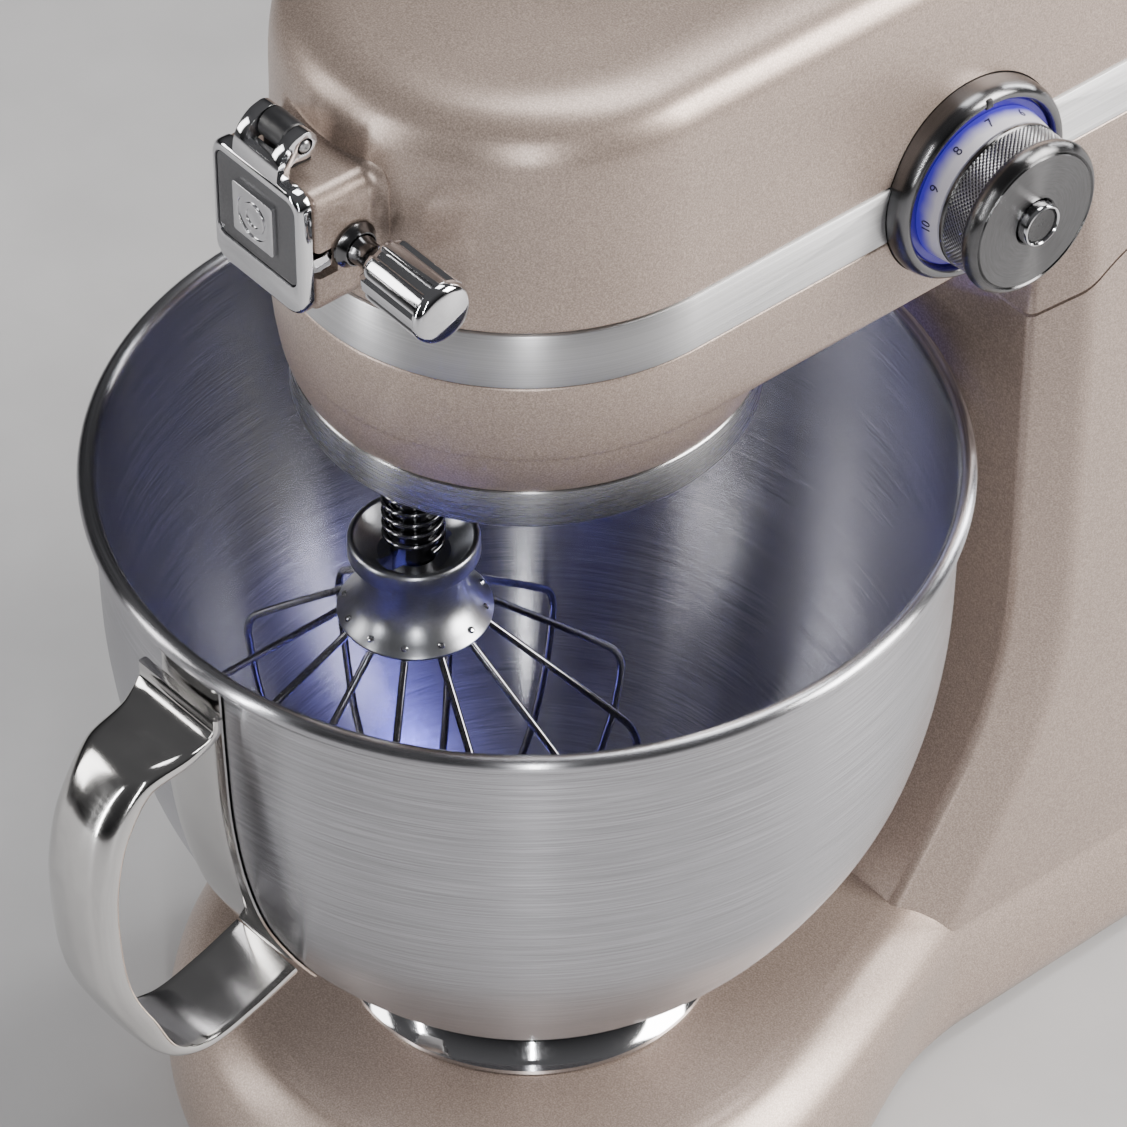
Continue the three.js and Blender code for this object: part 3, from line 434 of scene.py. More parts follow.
def spun(
    name, colour, axis, centre, roughness=0.26, anisotropic=0.75, contrast=0.15, across=1800.0,
    round_scale=9.0,
):
    """Steel spun or brushed in rings about an axis: the ring's number is radius plus height."""
    look = steel(name, colour, roughness, anisotropic)
    flat, radius, along = look.polar(axis, centre)
    ring = look.calculate("MULTIPLY", look.calculate("ADD", radius, along), across)
    unit = look.node("ShaderNodeVectorMath", {0: flat}, operation="NORMALIZE").outputs[0]
    turn = look.node("ShaderNodeSeparateXYZ", {0: unit}).outputs
    vector = look.node("ShaderNodeCombineXYZ", {
        "X": look.calculate("MULTIPLY", turn[0], round_scale),
        "Y": look.calculate("MULTIPLY", turn[1], round_scale),
        "Z": ring,
    }).outputs[0]
    streak = look.noise(vector, 1, 3, 0.65)
    look.vary(streak, colour, 1 - contrast, 1 + contrast)
    look.link(look.range(streak, roughness - 0.01, roughness + 0.015), "Roughness")
    look.bump(streak, 0.03, 0.01)
    return look.material


def polished(name, colour, roughness=0.07):
    """Mirror steel with faint smears and hairline scratches."""
    look = Look(name, colour, metallic=1.0, roughness=roughness)
    smear = look.noise(look.place((60, 25, 60)), 1, 4)
    hair = look.noise(look.place((200, 1500, 900)), 1, 2)
    broad = look.range(smear, roughness * 0.6, roughness * 1.7)
    look.link(look.calculate("ADD", broad, look.range(hair, 0, 0.03)), "Roughness")
    look.vary(smear, colour, 0.95, 1)
    look.bump(smear, 0.05, 0.2)
    return look.material


def knurl():
    """Pressed diamonds: bright steel tops, and grooves darkened almost to black with painted shade."""
    look = Look("knurl_steel", (0.6, 0.6, 0.61), metallic=1.0, roughness=0.3)
    radius = look.polar("X", DIAL)[1]
    deepest = GRIP_RADIUS - GRIP_DEPTH
    height = look.range(radius, 0, 1, (deepest + 0.04) / 1000, (GRIP_RADIUS - 0.06) / 1000)
    # Painted shade: the base colour falls to near black down in the grooves and rises to bright steel on
    # the tops.
    look.link(look.ramp(height, [(0.3, (0.03, 0.03, 0.033)), (0.75, (0.7, 0.7, 0.71))]), "Base Color")
    look.link(look.range(height, 0.5, 0.22, 0, 1), "Roughness")
    return look.material


def moulded(name, colour, roughness=0.5, grain=900, depth=0.05, **sockets):
    """Plastic, rubber or cast metal with a fine even texture."""
    look = Look(name, colour, roughness=roughness, **sockets)
    fine = look.noise(look.place(), grain, 3)
    cloud = look.noise(look.place(), 30, 2)
    look.vary(cloud, colour, 0.85, 1.12)
    look.link(look.range(fine, roughness - 0.06, roughness + 0.08), "Roughness")
    look.bump(fine, 0.25, depth)
    return look.material


def glowing(name, colour, strength, scale=40):
    look = Look(name, colour, roughness=0.25, emission_strength=strength)
    cloud = look.noise(look.place(), scale, 2)
    look.vary(cloud, colour, 0.7, 1)
    look.vary(cloud, colour, 0.6, 1, "Emission Color")
    return look.material


def lit_ring():
    """Frosted plastic that blue light fills from its base, near the head."""
    look = Look("number_ring", (0.6, 0.59, 0.63), roughness=0.35, emission_strength=0.7)
    height = look.node("ShaderNodeSeparateXYZ", {0: look.place()}).outputs[0]
    cloud = look.noise(look.place(), 160, 2)
    edge = look.calculate("ADD", height, look.range(cloud, -0.0005, 0.0005))
    rise = look.range(edge, 0, 1, (NUMBERS_FOOT + 0.8) / 1000, (NUMBERS_TOP - 2) / 1000)
    look.link(look.ramp(rise, [(0.0, (0.05, 0.035, 0.42)), (1.0, (0.6, 0.59, 0.63))]), "Base Color")
    look.link(look.ramp(rise, [(0.0, (0.03, 0.015, 0.26)), (0.8, (0.045, 0.04, 0.08))]), "Emission Color")
    return look.material


paint = painted()
band_steel = brushed("band_steel", (0.58, 0.58, 0.59), (6, 6, 2600), 0.38, 0.9, 0.12)
ring_steel = spun("ring_steel", (0.5, 0.5, 0.51), "Z", MIDDLE, 0.27, 0.9, 0.08, 2600, 3)
bowl_steel = spun("bowl_steel", (0.46, 0.46, 0.485), "Z", MIDDLE, 0.25, 0.92, 0.3, 2600, 3)
collar_steel = spun("collar_steel", (0.42, 0.43, 0.46), "Z", PLANET, 0.3, 0.3, 0.08)
dial_steel = spun("dial_steel", (0.13, 0.13, 0.133), "X", DIAL, 0.24, 0.98, 0.16, 3000, 3)
bezel_steel = spun("bezel_steel", (0.17, 0.17, 0.175), "X", DIAL, 0.22, 0.8, 0.1, 3000, 3)
knurl_steel = knurl()
chrome = polished("chrome", (0.72, 0.72, 0.74), 0.05)
handle_chrome = polished("handle_chrome", (0.66, 0.65, 0.64), 0.09)
dark_chrome = polished("dark_chrome", (0.16, 0.16, 0.165), 0.12)
wire_steel = brushed("wire_steel", (0.2, 0.2, 0.215), (900, 900, 900), 0.17, 0.0)
machined = brushed("machined_steel", (0.42, 0.42, 0.43), (60, 60, 1500), 0.3, 0.3)
satin = moulded("satin_cast", (0.1, 0.1, 0.105), 0.4, 1500, 0.02, metallic=0.5)
cast = moulded("cast_aluminium", (0.4, 0.4, 0.41), 0.5, 500, 0.1, metallic=0.9)
plastic = moulded("black_plastic", (0.02, 0.02, 0.022), 0.38)
rubber = moulded("black_rubber", (0.022, 0.022, 0.023), 0.75, 500, 0.12)
bronze = brushed("bronze", (0.5, 0.33, 0.15), (80, 80, 80), 0.35, 0.0)
glow = glowing("blue_glow", (0.03, 0.014, 0.24), 0.55)
lens = glowing("light_lens", (0.62, 0.66, 1.0), 6.0, 200)
number_face = lit_ring()
black_cap = moulded("black_cap", (0.02, 0.02, 0.022), 0.22, 900, 0.02)
ink = moulded("ink", (0.015, 0.013, 0.05), 0.4)

by_slot = {
    "paint": paint,
    "brushed_steel": band_steel,
    "polished_steel": chrome,
    "dark_chrome": dark_chrome,
    "satin_grey": cast,
    "machined_steel": machined,
    "dark_plastic": plastic,
    "rubber": rubber,
    "bronze": bronze,
    "blue_glow": glow,
    "lens": lens,
    "number_ring": number_face,
}
for part in frame["record"]["subparts"]:
    node = frame["nodes"][part["node"]]
    node.data.materials.clear()
    node.data.materials.append(by_slot[part["material_slot"]])

# ---------------- stand


def column_front(z, top_y, bend_radius, lean):
    drop = RIM_Z - 80 - z
    arc_drop = bend_radius * math.sin(lean)
    if drop <= 0:
        return top_y
    if drop <= arc_drop:
        return top_y - bend_radius + math.sqrt(bend_radius**2 - drop**2)
    return top_y - bend_radius * (1 - math.cos(lean)) - (drop - arc_drop) * math.tan(lean)


def column_rear(z):
    shelf = math.radians(-42)
    shelf_z = PIVOT_Z + KNUCKLE_RADIUS * math.sin(shelf)
    if z > shelf_z - 1:
        return PIVOT_Y + KNUCKLE_RADIUS + 1
    return PIVOT_Y + KNUCKLE_RADIUS * math.cos(shelf) + (shelf_z - z) / shelf_z * 13


def column_outline(face_half, side_half, face_y, side_y, rear_y, corner):
    corners = [
        (-side_half, side_y), (-face_half, face_y), (face_half, face_y),
        (side_half, side_y), (side_half, rear_y), (-side_half, rear_y),
    ]
    return rounded(corners, [8, 5, 5, 8, corner, corner], 8)


def column(inset, bottom, top):
    levels = sorted({bottom, top, 178.0, 180.4, *(bottom + (top - bottom) * i / 60 for i in range(60))})
    rings = []
    for z in levels:
        outline = column_outline(
            FACE_HALF_WIDTH - inset,
            COLUMN_HALF_WIDTH - inset,
            column_front(z, 121.5, 125, math.radians(31.8)) + inset,
            column_front(z, 133, 143, math.radians(27.5)) + inset * 0.6,
            column_rear(z) - inset,
            30 - inset,
        )
        rings.append(at_level(outline, z))
    return loft(rings)


def parting(offset, half=90):
    """The column's region of the side view, grown by an offset."""
    tangent = 90 + math.degrees(PARTING_SLOPE)
    knuckle = arc((PIVOT_Y, PIVOT_Z), KNUCKLE_RADIUS + offset, -42, tangent, 72)
    touch_y, touch_z = knuckle[-1]
    front_z = touch_z - (touch_y - 20) * math.tan(PARTING_SLOPE)
    outline = [(20, -20), (260, -20), (260, knuckle[0][1]), *knuckle, (20, front_z)]
    return prism(outline, "x", -half, half)


def bezier(a, b, c, d, steps):
    points = []
    for i in range(1, steps + 1):
        t = i / steps
        weights = ((1 - t) ** 3, 3 * t * (1 - t) ** 2, 3 * t * t * (1 - t), t**3)
        points.append(tuple(sum(w * p[k] for w, p in zip(weights, (a, b, c, d))) for k in (0, 1)))
    return points


def keyhole(radius, leave, tail_half, tail_y, slope, rear_y, corner):
    """Plan of the base: round under the bowl, narrowing to a straight tail."""
    front = arc((0, 0), radius, -90, leave, 48)
    start = front[-1]
    turn = math.radians(leave)
    first = (start[0] - 27 * math.sin(turn), start[1] + 27 * math.cos(turn))
    second = (tail_half + 0.92 * 27 * slope, tail_y - 0.92 * 27)
    blend = bezier(start, first, second, (tail_half, tail_y), 16)
    return mirrored([*front, *blend, *arc((tail_half - corner, rear_y - corner), corner, 0, 90, 14)])


def smooth_stack(sections, steps):
    """Rings on smooth curves through a stack of level outlines."""
    rings = [at_level(outline, z) for z, outline in sections]
    return [list(ring) for ring in zip(*(spline(line, steps) for line in zip(*rings)))]


base = loft(smooth_stack([
    (3, keyhole(96.5, 24, 69.5, 95, 0.1, 208, 30)),
    (8, keyhole(99, 24, 71.5, 95, 0.1, 210, 30)),
    (22, keyhole(99, 20, 70, 96, 0.2, 210, 30)),
    (35, keyhole(94.5, 13, COLUMN_HALF_WIDTH, 98, 0.4, 207, 29)),
    (44.2, keyhole(84.5, 13.6, 58, 88, 0.37, 194, 22)),
    (SEAT_Z, keyhole(77, 14, 52, 82, 0.35, 186, 18)),
], 6))
inner_base = loft([
    at_level(keyhole(91.5, 24, 65, 95, 0.1, 203, 25), 0),
    at_level(keyhole(92, 20, 63.5, 96, 0.2, 203, 25), 22),
    at_level(keyhole(80, 13, 55, 96, 0.35, 196, 24), 40.5),
])
cheek_side = [(120, 160), (196, 160), (204, 200), (206, 225), (180, 252), (140, 250), (124, 232)]
cheeks = joined(prism(cheek_side, "x", 17, 27), prism(cheek_side, "x", -27, -17))
cheeks = common(cheeks, common(column(1, 28, 262), parting(-1)))
slot_sector = [(PIVOT_Y, PIVOT_Z), *arc((PIVOT_Y, PIVOT_Z), 70, 32, 142, 24)]
stand = joined(base, common(column(0, 28, 262), parting(0)))
stand = cut(stand, joined(inner_base, common(column(5.5, 20, 262), parting(-5.5))))
stand = joined(stand, cheeks)
stand = cut(
    stand,
    joined(prism(slot_sector, "x", -17, 17), rod(26, -17, 17, PIVOT, "x", 64)),
    rod(9.3, -40, 40, PIVOT, "x"),
    rod(5.3, -80, -50, (0, 150, 168), "x"),
    rod(38.3, SEAT_Z - 3, SEAT_Z + 1, MIDDLE, "z", 96),
    rod(8.3, 190, 230, (0, 0, 24), "y"),
)
piece(stand, "stand_body", "stand", paint, ["stand_casting"])

for i, (x, y) in enumerate([(-52, 178), (52, 178), (-62, -34), (62, -34)]):
    foot = lathe(
        [(0, 0), (9, 0), (9.8, 0.3), (11, 1.4), (11, 3), (6, 3.4), (6, 8), (0, 8)], (x, y, 0),
        segments=40,
    )
    piece(foot, f"foot_{i + 1}", "stand", rubber, [f"rubber_foot_{i + 1}"])

gland_profile = [
    (3.6, 198), (8, 198), (8, 210.6), (10.5, 210.6), (10.5, 212.4), (9.6, 213.3), (5.8, 215.2),
    (5.4, 215.6), (3.6, 215.6),
]
piece(
    lathe(gland_profile, (0, 0, 24), "y", 48), "cord_gland", "stand", rubber,
    ["power_cord_gland"],
)

lever_hub = lathe(
    [(0, -75), (7.4, -75), (8.6, -74.5), (9, -73.6), (9, -66), (5, -66), (5, -56), (0, -56)],
    (0, 150, 168), "x", 48,
)
paddle_side = arc((150, 168), 7, 120, 240, 20) + arc((186, 163), 5.5, -90, 80, 20)
lever = joined(lever_hub, prism(paddle_side, "x", -74, -67))
piece(lever, "lever", "release_lever", chrome, ["release_lever"], bevel=0.8)

# ---------------- bowl

wall_curve = spline([(r, RIM_Z + z) for r, z in [
    (45, -166), (54, -158.5), (63.5, -150), (73.5, -138.8), (83.5, -125.5), (92.5, -110.5),
    (100.5, -93.5), (106, -74), (109.2, -52), (110, -30), (110.2, -6),
]], 8)


def offset(curve, distance):
    """A curve moved to its left by a distance."""
    moved = []
    for i, point in enumerate(curve):
        way = (curve[min(i + 1, len(curve) - 1)] - curve[max(i - 1, 0)]).normalized()
        moved.append(point + Vector((-way.y, way.x)) * distance)
    return moved


bead = arc((RIM_RADIUS - 2.5, RIM_Z - 2.5), 2.5, -120, 180, 24)
inner_wall = offset(wall_curve, 1.3)
profile = [
    (0, BOWL_BOTTOM), *map(tuple, wall_curve), *bead, *map(tuple, reversed(inner_wall)),
    (0, BOWL_BOTTOM + 1.3),
]
piece(
    lathe(profile, segments=160), "bowl", "bowl", bowl_steel, ["bowl_shell"], smooth=50,
)

foot_top, foot_low = BOWL_BOTTOM - 0.3, SEAT_Z + 0.3
foot_skirt = lathe([(r, z) for r, z in [
    (50, foot_low), (51.4, foot_low), (51.8, foot_low + 0.5), (51.6, foot_low + 1.5),
    (50, foot_low + 2.6), (48, foot_low + 4.6), (46.4, foot_low + 7), (45.4, foot_top - 1),
    (45.4, foot_top), (42, foot_top), (43.6, foot_top - 3), (46, foot_low + 4.2), (49, foot_low + 1.6),
    (50, foot_low + 1.2),
]], segments=128)
tabs = lathe([(45, foot_low), (50.4, foot_low), (50.4, foot_low + 1.8), (45, foot_low + 1.8)])
wedges = [prism([(0, 0), *arc((0, 0), 70, a - 10, a + 10, 6)], "z", 40, 60) for a in (0, 120, 240)]
piece(
    joined(foot_skirt, common(tabs, joined(*wedges))), "foot_ring", "bowl", chrome,
    ["bowl_foot"], smooth=40,
)

HANDLE_TURN = 2
strap_curve = spline([(y, RIM_Z + z) for y, z in [
    (-115.3, -11), (-115.6, -15), (-121.4, -18.6), (-136, -20.5), (-146.5, -32), (-151.7, -50),
    (-152.2, -70), (-149.6, -90), (-143, -106), (-133.5, -120.6), (-120, -126), (-104, -123.5),
    (-90.1, -119),
]], 9)


def eased(start, end, value):
    t = min(1.0, max(0.0, (value - start) / (end - start)))
    return t * t * (3 - 2 * t)


def strap_section(share):
    """The strap's section: across, and in from its outside."""
    swell = eased(0.1, 0.34, share) * (1 - eased(0.66, 0.84, share))
    half = 12 + 3 * (1 - eased(0.04, 0.3, share))
    depth = 2.6 + 4.2 * swell
    edge = depth * (0.35 + 0.38 * swell)
    roll = 0.8 + 6.6 * swell
    right = []
    for k in range(5):
        x = (half - roll) * k / 4
        right.append((x, -0.35 * swell * (1 - (k / 4) ** 2) + 0.35 * swell))
    for k in range(1, 8):
        a = math.pi / 2 * k / 7
        right.append((half - roll + roll * math.sin(a), 0.35 * swell + edge * (1 - math.cos(a))))
    right.append((half, depth - 0.5))
    right.append((half - 0.15, depth - 0.15))
    right.append((half - 0.6, depth))
    right.append((half - 2.5, depth - 0.8 * swell))
    right.append((0.0, depth - 1.5 * swell))
    return right + [(-x, y) for x, y in reversed(right[1:-1])]


rings = []
for i, point in enumerate(strap_curve):
    way = (strap_curve[min(i + 1, len(strap_curve) - 1)] - strap_curve[max(i - 1, 0)]).normalized()
    section = strap_section(i / (len(strap_curve) - 1))
    rings.append([(x, point.x - way.y * depth, point.y + way.x * depth) for x, depth in section])
handle = turned_by(loft(rings), HANDLE_TURN)
piece(handle, "handle", "bowl", handle_chrome, ["bowl_handle"], smooth=45)

strip_wall = [p for p in wall_curve if p.y > RIM_Z - 126]
rings = []
for i, point in enumerate(strip_wall):
    half = 11 + 1.2 * math.sin(math.pi * i / (len(strip_wall) - 1))
    ring = []
    for gap, lanes in ((1.6, range(-6, 7)), (0.5, range(6, -7, -1))):
        for lane in lanes:
            x = half * lane / 6
            lift = gap - 0.5 * (gap > 1) * (abs(lane) == 6)
            radius = point.x + lift
            angle = x / radius
            ring.append((radius * math.sin(angle), -radius * math.cos(angle), point.y))
    rings.append(ring)
piece(
    turned_by(loft(rings), HANDLE_TURN), "handle_strip", "bowl", handle_chrome,
    ["handle_backing"], smooth=40,
)


def weld(x, y, z, radius, lift, name):
    dome = [
        (0, -lift - 0.4), (radius * 0.5, -lift * 0.85 - 0.4), (radius * 0.85, -lift * 0.4 - 0.4),
        (radius, 0), (0, 0),
    ]
    piece(
        turned_by(lathe(dome, (x, y, z), "y", 28), HANDLE_TURN), name, "bowl",
        handle_chrome,
    )


for i, x in enumerate((-4.6, 4.6)):
    weld(x, -114.1, RIM_Z - 13, 1.5, 0.25, f"plate_weld_{i + 1}")

# ---------------- head


def stadium(half, rear, corner):
    return mirrored(
        [*arc((0, 0), half, -90, 0, 44), *arc((half - corner, rear - corner), corner, 0, 90, 16)]
    )


def head_outline(inset):
    return stadium(HEAD_HALF_WIDTH - inset, HEAD_REAR - inset, REAR_CORNER - inset * 0.7)


def head_stack(levels, steps):
    """Rings of the head's plan on a smooth curve through (height, inset) levels."""
    return [at_level(head_outline(inset), z) for z, inset in spline(levels, steps)]


def dial_hole():
    return rod(28, 40, 90, DIAL, "x", 96)


upper = loft(head_stack([
    (BAND_TOP + 0.3, 0.9), (BAND_TOP + 0.8, 0.6), (RIM_Z + 114, 2.2), (RIM_Z + 135, 2.8),
    (RIM_Z + 141.5, 4), (RIM_Z + 146, 6.8), (RIM_Z + 148.8, 11), (HEAD_TOP - 1.3, 17),
    (HEAD_TOP - 0.5, 30), (HEAD_TOP, 46),
], 6))


def upper_inside():
    return loft([at_level(head_outline(inset), z) for z, inset in [
        (BAND_TOP - 5, SHELL + 0.6), (RIM_Z + 114, SHELL + 2.2), (RIM_Z + 138, SHELL + 4),
        (RIM_Z + 143.5, SHELL + 10),
    ]])


FILLET = 3
boss_levels = [(-77.5, -1.2), (-77.2, -0.5), (-76.8, -0.1), (-76.2, 0)]
for k in range(9):
    lean = math.pi / 2 * k / 8
    grow = FILLET * (1 - math.cos(lean))
    boss_levels.append((-math.sqrt(62**2 - (17.6 + grow) ** 2) - FILLET * (1 - math.sin(lean)), grow))
boss_levels += [(-50, FILLET)]
boss_rings = []
for y, grow in boss_levels:
    outline = rounded_box(
        17.6 + grow, RIM_Z + 97.6 - grow, RIM_Z + 132.6 + grow, 4.6 + max(grow, 0) * 0.9, 12,
    )
    boss_rings.append([(x, y, z) for x, z in outline])
boss = cut(loft(boss_rings), upper_inside())
upper = joined(cut(upper, upper_inside()), boss)
upper = cut(
    upper,
    rod(15.3, -100, -30, (0, 0, HUB_Z), "y", 64),
    rod(4.4, 10, 30, (0, THUMB_Y, THUMB_Z), "x"),
    block(-26, 26, HEAD_REAR - 12, HEAD_REAR + 8, 326, 352),
    block(13.4, 20, -79, -71.6, RIM_Z + 108.8, RIM_Z + 116.6),
    dial_hole(),
)
piece(upper, "head_top", "head", paint, ["head_upper_shell"], smooth=28)

SKIRT_Z = RIM_Z + 38.9


def neck(z, side_half, inset):
    outline = column_outline(
        FACE_HALF_WIDTH - inset, side_half, 121.5 + inset, 133 + inset * 0.6,
        HEAD_REAR - inset, REAR_CORNER - 3 - inset * 0.7,
    )
    return at_level(outline, z)


def yoke_arm(clearance, half_across):
    direction = math.radians(112)
    forward = Vector((math.cos(direction), math.sin(direction)))
    side = Vector((-forward.y, forward.x))
    half, reach = 12 + clearance, 76 + clearance
    corners = [(0, half), (0, -half), (reach, -half), (reach, half)]
    outline = [tuple(Vector((PIVOT_Y, PIVOT_Z)) + forward * a + side * b) for a, b in corners]
    return prism(outline, "x", -half_across, half_across)


band_bottom = BAND_LOW - 0.3
sides = loft(head_stack([
    (HEAD_FLOOR, 3.6), (HEAD_FLOOR + 0.6, 2.5), (HEAD_FLOOR + 1.8, 1.7), (HEAD_FLOOR + 5, 1.2),
    (band_bottom - 0.6, 0.2), (band_bottom, 0.5),
], 4))
skirt_profile = spline([
    (59.5, SKIRT_Z + 0.4), (60.2, SKIRT_Z + 2), (61.4, SKIRT_Z + 6), (62.6, SKIRT_Z + 14),
    (63.6, band_bottom - 1),
], 6)
skirt = lathe(
    [(0, SKIRT_Z), (59.1, SKIRT_Z), *map(tuple, skirt_profile), (63.4, band_bottom), (0, band_bottom)],
    segments=176,
)
neck_outside = loft([
    neck(221, COLUMN_HALF_WIDTH, 0), neck(258, COLUMN_HALF_WIDTH, 0),
    neck(290, HEAD_HALF_WIDTH - 0.5, 0.3),
])
neck_inside = loft([
    neck(211, COLUMN_HALF_WIDTH - SHELL, SHELL), neck(258, COLUMN_HALF_WIDTH - SHELL, SHELL),
    neck(292, HEAD_HALF_WIDTH - 0.5 - SHELL, SHELL),
])
sides_inner = loft([
    at_level(head_outline(SHELL + 1.4), HEAD_FLOOR + SHELL),
    at_level(head_outline(SHELL + 0.2), band_bottom + 4),
])
lower = joined(sides, skirt, neck_outside)
lower = cut(
    lower,
    joined(sides_inner, cut(neck_inside, parting(SHELL + 0.8))),
    parting(0.8),
    rod(56.3, 250, 300, MIDDLE, "z", 128),
    yoke_arm(0.6, 16.6),
    rod(9.3, 260, 290, (0, 90, 0), "z"),
    dial_hole(),
)
piece(lower, "head_bottom", "head", paint, ["head_lower_shell"], smooth=28)


def closed_band(levels):
    return loft([at_level(head_outline(inset), z) for z, inset in levels], "joined")


band = cut(closed_band([
    (BAND_LOW, 0.5), (BAND_LOW + 0.15, 0.25), (BAND_LOW + 0.5, 0.1), (BAND_TOP - 0.5, 0.1),
    (BAND_TOP - 0.15, 0.25), (BAND_TOP, 0.5), (BAND_TOP, 2.6), (BAND_LOW, 2.6),
]), dial_hole())
piece(band, "head_band", "head", band_steel, ["trim_band"])

drip_low, drip_high = RIM_Z + 26.9, SKIRT_Z - 0.3
drip_profile = [
    (53.6, drip_low), (58.2, drip_low), (58.8, drip_low + 0.2), (59.2, drip_low + 0.6),
    (59.4, drip_low + 1.2), (59.4, drip_high - 0.3), (59.1, drip_high), (53.6, drip_high),
]
piece(lathe(drip_profile, segments=176), "drip_guard", "head", ring_steel, ["drip_ring"])

lens_profile = [
    (0, HEAD_FLOOR - 1.5), (6.4, HEAD_FLOOR - 1.5), (7.4, HEAD_FLOOR - 1), (9, HEAD_FLOOR),
    (9, HEAD_FLOOR + 5), (0, HEAD_FLOOR + 5),
]
piece(
    lathe(lens_profile, (0, 90, 0), segments=48), "light_lens", "head", lens, ["bowl_light_lens"],
)

# ---------------- whisk and its drive

carrier_z = RIM_Z + 28.5
carrier = joined(
    lathe([
        (0, carrier_z - 4), (43, carrier_z - 4), (45, carrier_z - 3.6), (52.2, carrier_z - 0.4),
        (52.6, carrier_z), (52.6, carrier_z + 9.6), (0, carrier_z + 9.6),
    ]),
    rod(13, carrier_z - 8, carrier_z + 1, PLANET, "z", 64),
)
carrier = cut(carrier, rod(6.3, 230, 270, PLANET, "z"), rod(7.3, carrier_z + 2, 270, MIDDLE, "z"))
piece(carrier, "carrier_plate", "planetary", plastic, ["planetary_carrier"])

shaft = lathe([
    (0, RIM_Z - 25), (4.2, RIM_Z - 25), (4.8, RIM_Z - 24.4), (5.7, RIM_Z - 22.8), (5.7, 274.5),
    (0, 274.5),
], PLANET, segments=48)
shaft = cut(shaft, rod(2.1, -20, 20, (0, -PLANET_ARM, RIM_Z - 17), "x"))
piece(shaft, "shaft", "beater", dark_chrome, ["beater_shaft"])

SPRING_TOP = millimetres("beater_spring")[1].z
SPRING_RADIUS, SPRING_PITCH, SPRING_MARGIN = 7.4, 3.6, 0.8
TURN_STEPS = 28
spring_low = RIM_Z - 9
turns = (SPRING_TOP - spring_low - 2 * SPRING_MARGIN) / SPRING_PITCH
coil = []
for i in range(int(turns * TURN_STEPS) + 1):
    a = 2 * math.pi * i / TURN_STEPS
    x, y = SPRING_RADIUS * math.cos(a), SPRING_RADIUS * math.sin(a)
    coil.append((x, y - PLANET_ARM, spring_low + SPRING_MARGIN + SPRING_PITCH * i / TURN_STEPS))
spring = piece(
    tube(coil, 0.78, 10), "spring_coil", "beater", wire_steel, ["beater_spring"],
    smooth=60,
)
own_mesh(spring)

collar_profile = [(r, RIM_Z + z) for r, z in [
    (14.9, -7.3), (15.5, -6.9), (16.2, -6.95), (16.7, -7.4), (16.9, -8.2), (16.9, -12.2), (16.6, -12.7),
    (14.6, -13.3), (14, -13.9), (13.5, -15.5), (13.4, -18), (13.4, -21), (13.6, -23.6), (14.4, -25.8),
    (15.8, -27.8), (17.8, -29.7), (19.6, -31.1), (20, -31.6), (19.9, -32.2), (19.4, -32.5), (11.5, -32.5),
    (11.5, -14.8), (6.1, -14.8), (6.1, -12.6), (9.3, -12.4), (9.6, -12), (13.8, -9.6),
]]
slot = block(-2.6, 2.6, -PLANET_ARM - 11, -PLANET_ARM + 11, RIM_Z - 16, RIM_Z - 11.4)
collar = cut(lathe(collar_profile, PLANET, segments=96), slot)
piece(collar, "whisk_hub", "whisk", collar_steel, ["whisk_collar"], smooth=40)

WHISK_PHASE = 12.5
WIRE_RADIUS = 1.05
for i in range(12):
    a = math.radians(WHISK_PHASE + 30 * i)
    dimple = lathe([(0, 0.55), (0.55, 0.46), (0.9, 0.1), (1.0, -0.4), (0, -0.4)], segments=20)
    centre = (18.2 * math.cos(a), 18.2 * math.sin(a) - PLANET_ARM, RIM_Z - 29.7)
    tilt = Matrix.Rotation(a, 4, "Z") @ Matrix.Rotation(math.radians(40), 4, "Y")
    home = Matrix.Translation((0, AXIS_Y / 1000, 0))
    spot = Matrix.Translation((centre[0] / 1000, (centre[1] + AXIS_Y) / 1000, centre[2] / 1000))
    dimple.data.transform(spot @ tilt @ home.inverted())
    piece(dimple, f"wire_crimp_{i + 1}", "whisk", chrome)

for i in range(6):
    bottom = -157 + 3 * i
    half_loop = [
        (15.2, -31.9), (30, -44.6), (42, -54.9),
        *[(r - WIRE_RADIUS, z) for r, z in arc((46, -73.6), 12, 50, -10, 6)],
        (54, -92), (45.5, -115), (27.5, bottom + 13.5), (14, bottom + 2),
    ]
    other = [(-r, z) for r, z in reversed(half_loop)]
    a = math.radians(WHISK_PHASE + 30 * i)
    path = [
        (r * math.cos(a), r * math.sin(a) - PLANET_ARM, RIM_Z + z)
        for r, z in [*half_loop, (0, bottom), *other]
    ]
    piece(
        tube(spline(path, 7), WIRE_RADIUS), f"wire_{i + 1}", "whisk", wire_steel,
        [f"whisk_loop_{i + 1}"], smooth=60,
    )

# ---------------- front drive hub

COVER_FRONT, COVER_BACK = -82.0, -77.9
cover_low, cover_top = RIM_Z + 97.8, RIM_Z + 134.3
cover = loft([
    [
        (x, y, z)
        for x, z in rounded_box(16.9 - inset, cover_low + inset, cover_top - inset, 5 - inset * 0.5, 10)
    ]
    for y, inset in [
        (COVER_BACK, 0.5), (COVER_BACK - 0.4, 0), (-80.4, 0), (-81.2, 0.2), (-81.7, 0.6),
        (COVER_FRONT, 1.2),
    ]
])
arm_front = spline([
    (HINGE_Y, HINGE_Z + 3.8), (-76.2, RIM_Z + 144), (-79.3, RIM_Z + 141.4), (-81.2, RIM_Z + 137.8),
    (COVER_FRONT + 0.3, cover_top - 0.6), (COVER_FRONT + 0.5, cover_top - 3),
], 6)
arm_back = spline([
    (COVER_BACK, cover_top - 3), (COVER_BACK, cover_top + 1), (-76.8, RIM_Z + 137.6),
    (HINGE_Y, HINGE_Z - 3.8),
], 6)
arm_side = [tuple(point) for point in arm_front + arm_back]
